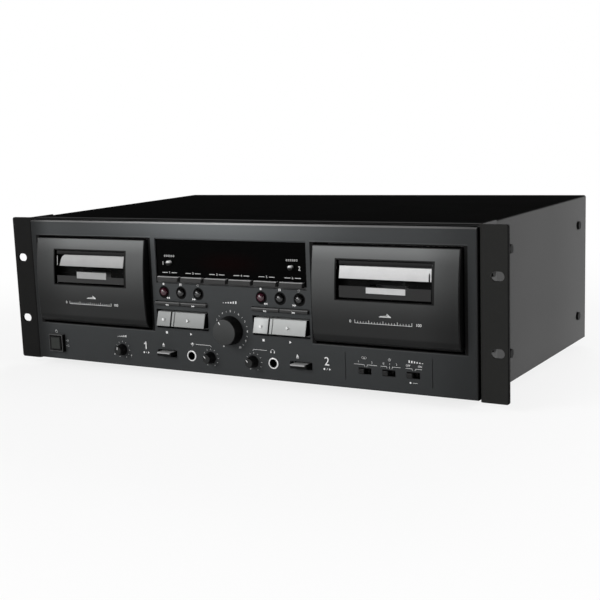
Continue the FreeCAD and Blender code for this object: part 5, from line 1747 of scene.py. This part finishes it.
@dataclass(frozen=True)
class Lamp:
    """A soft rectangular lamp. Its place and size are in metres, its power in watts."""

    name: str
    place: Point
    size: Span
    power: float
    mirrored: bool = True

    def build(self, target: Vector) -> None:
        """Set up the lamp.

        Args:
            target: What it looks at.
        """
        light = bpy.data.lights.new(self.name, "AREA")
        light.shape = "RECTANGLE"
        light.size, light.size_y = self.size
        light.energy = self.power
        lamp = bpy.data.objects.new(self.name, light)
        bpy.context.scene.collection.objects.link(lamp)
        lamp.location = self.place
        lamp.rotation_euler = (target - Vector(self.place)).to_track_quat("-Z", "Y").to_euler()
        lamp.visible_camera = False
        lamp.visible_glossy = self.mirrored


@dataclass
class Studio:
    """Floor, lamps, background and camera."""

    lamps: tuple[Lamp, ...] = (
        Lamp("key_softbox", (-1.05, -1.55, 0.95), (1.1, 0.9), 24.0),
        Lamp("front_softbox", (0.15, -2.0, 0.5), (1.4, 0.8), 11.0),
        Lamp("right_softbox", (1.9, 0.1, 0.7), (1.0, 0.9), 40.0),
        Lamp("top_softbox", (0.0, -0.2, 2.0), (1.2, 0.8), 6.0, False),
        Lamp("rear_softbox", (-0.6, 2.0, 0.9), (1.2, 0.8), 34.0, False),
    )
    target: Point = (0.0, 0.0, 0.07)
    floor_size: float = 12.0
    floor_drop: float = 0.0002
    floor_colour: Colour = (0.8, 0.8, 0.8)
    floor_grain: float = 12.0
    floor_mottle: float = 0.02
    camera_side: float = 530.29
    camera_before_panel: float = 786.67
    camera_height: float = 223.83
    azimuth: float = 33.18
    elevation: float = 10.13
    roll: float = -2.55
    focal: float = 1153.89
    principal: Span = (246.04, 319.93)
    picture: float = 600.0
    sensor: float = 36.0
    clip: Span = (0.05, 50.0)
    white_floor: float = 0.8
    shadow_reach: Span = (300.0, 800.0)
    dim_world: float = 0.03

    def build(self) -> None:
        """Set up the studio."""
        bpy.context.scene.view_settings.view_transform = "Standard"
        self.floor()
        self.world()
        for lamp in self.lamps:
            lamp.build(Vector(self.target))
        self.camera()
        log.info("studio done")

    def floor(self) -> None:
        """A plain pale floor that keeps the shadow."""
        Bench.clear()
        bpy.ops.mesh.primitive_plane_add(size=self.floor_size, location=(0, 0, -self.floor_drop))
        floor = bpy.context.object
        floor.name = "floor"
        made, graph = new_material("pale_floor")
        grain = graph.noise(graph.place(), self.floor_grain)
        seen = Value(graph, graph.node("ShaderNodeLightPath").outputs["Is Camera Ray"])
        colour = graph.scaled(self.floor_colour, 1.0 + grain * self.floor_mottle)
        matt = graph.node("ShaderNodeBsdfDiffuse", None, {"Color": colour})
        white = graph.node("ShaderNodeEmission", None, {"Color": WHITE, "Strength": 1.0})
        across, back = graph.along(Axis.ACROSS), graph.along(Axis.BACK)
        away = graph.maths("POWER", across * across + back * back, 0.5)
        near, far = self.shadow_reach
        share = seen * (away.rises(near, far) * (1.0 - self.white_floor) + self.white_floor)
        mix = graph.node("ShaderNodeMixShader", None, {0: share, 1: matt.outputs[0], 2: white.outputs[0]})
        graph.output(mix.outputs[0])
        floor.data.materials.append(made)

    def world(self) -> None:
        """White where the camera sees it, dim for the rest of the light."""
        world = bpy.data.worlds.new("studio_world")
        bpy.context.scene.world = world
        world.use_nodes = True
        graph = Graph(world.node_tree)
        seen = Value(graph, graph.node("ShaderNodeLightPath").outputs["Is Camera Ray"])
        strength = seen * (1.0 - self.dim_world) + self.dim_world
        back = graph.node("ShaderNodeBackground", None, {"Color": WHITE, "Strength": strength})
        graph.output(back.outputs[0], "ShaderNodeOutputWorld")

    def camera(self) -> None:
        """The camera that took the picture."""
        data = bpy.data.cameras.new("picture_camera")
        data.sensor_fit = "HORIZONTAL"
        data.sensor_width = self.sensor
        data.lens = self.focal / self.picture * self.sensor
        data.shift_x = (self.picture / 2 - self.principal[0]) / self.picture
        data.shift_y = (self.principal[1] - self.picture / 2) / self.picture
        data.clip_start, data.clip_end = self.clip
        camera = bpy.data.objects.new("picture_camera", data)
        bpy.context.scene.collection.objects.link(camera)
        turn, rise = math.radians(self.azimuth), math.radians(self.elevation)
        back = Vector((math.sin(turn) * math.cos(rise), -math.cos(turn) * math.cos(rise), math.sin(rise)))
        right = (-back).cross(Vector((0, 0, 1))).normalized()
        up = right.cross(-back)
        lean = math.radians(self.roll)
        side = math.cos(lean) * right + math.sin(lean) * up
        head = math.cos(lean) * up - math.sin(lean) * right
        axes = Matrix((side, head, back)).transposed().to_4x4()
        place = Vector((self.camera_side, panel_face() - self.camera_before_panel, self.camera_height))
        camera.matrix_world = Matrix.Translation(place * MM) @ axes
        bpy.context.scene.camera = camera


def main() -> None:
    """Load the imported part, dress it and light it."""
    logging.basicConfig(level=logging.INFO, format="%(name)s: %(message)s")
    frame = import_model()
    finish = Finishes()
    CaseShell().build(frame, finish)
    FrontPanel().build(frame, finish)
    DisplayUnit().build(frame, finish)
    for deck in Deck:
        CassetteBay(deck).build(frame, finish)
        TransportControls(deck).build(frame, finish)
    Knobs().build(frame, finish)
    PanelFittings().build(frame, finish)
    Internals().build(frame, finish)
    Studio().build()


if __name__ == "__main__":
    main()
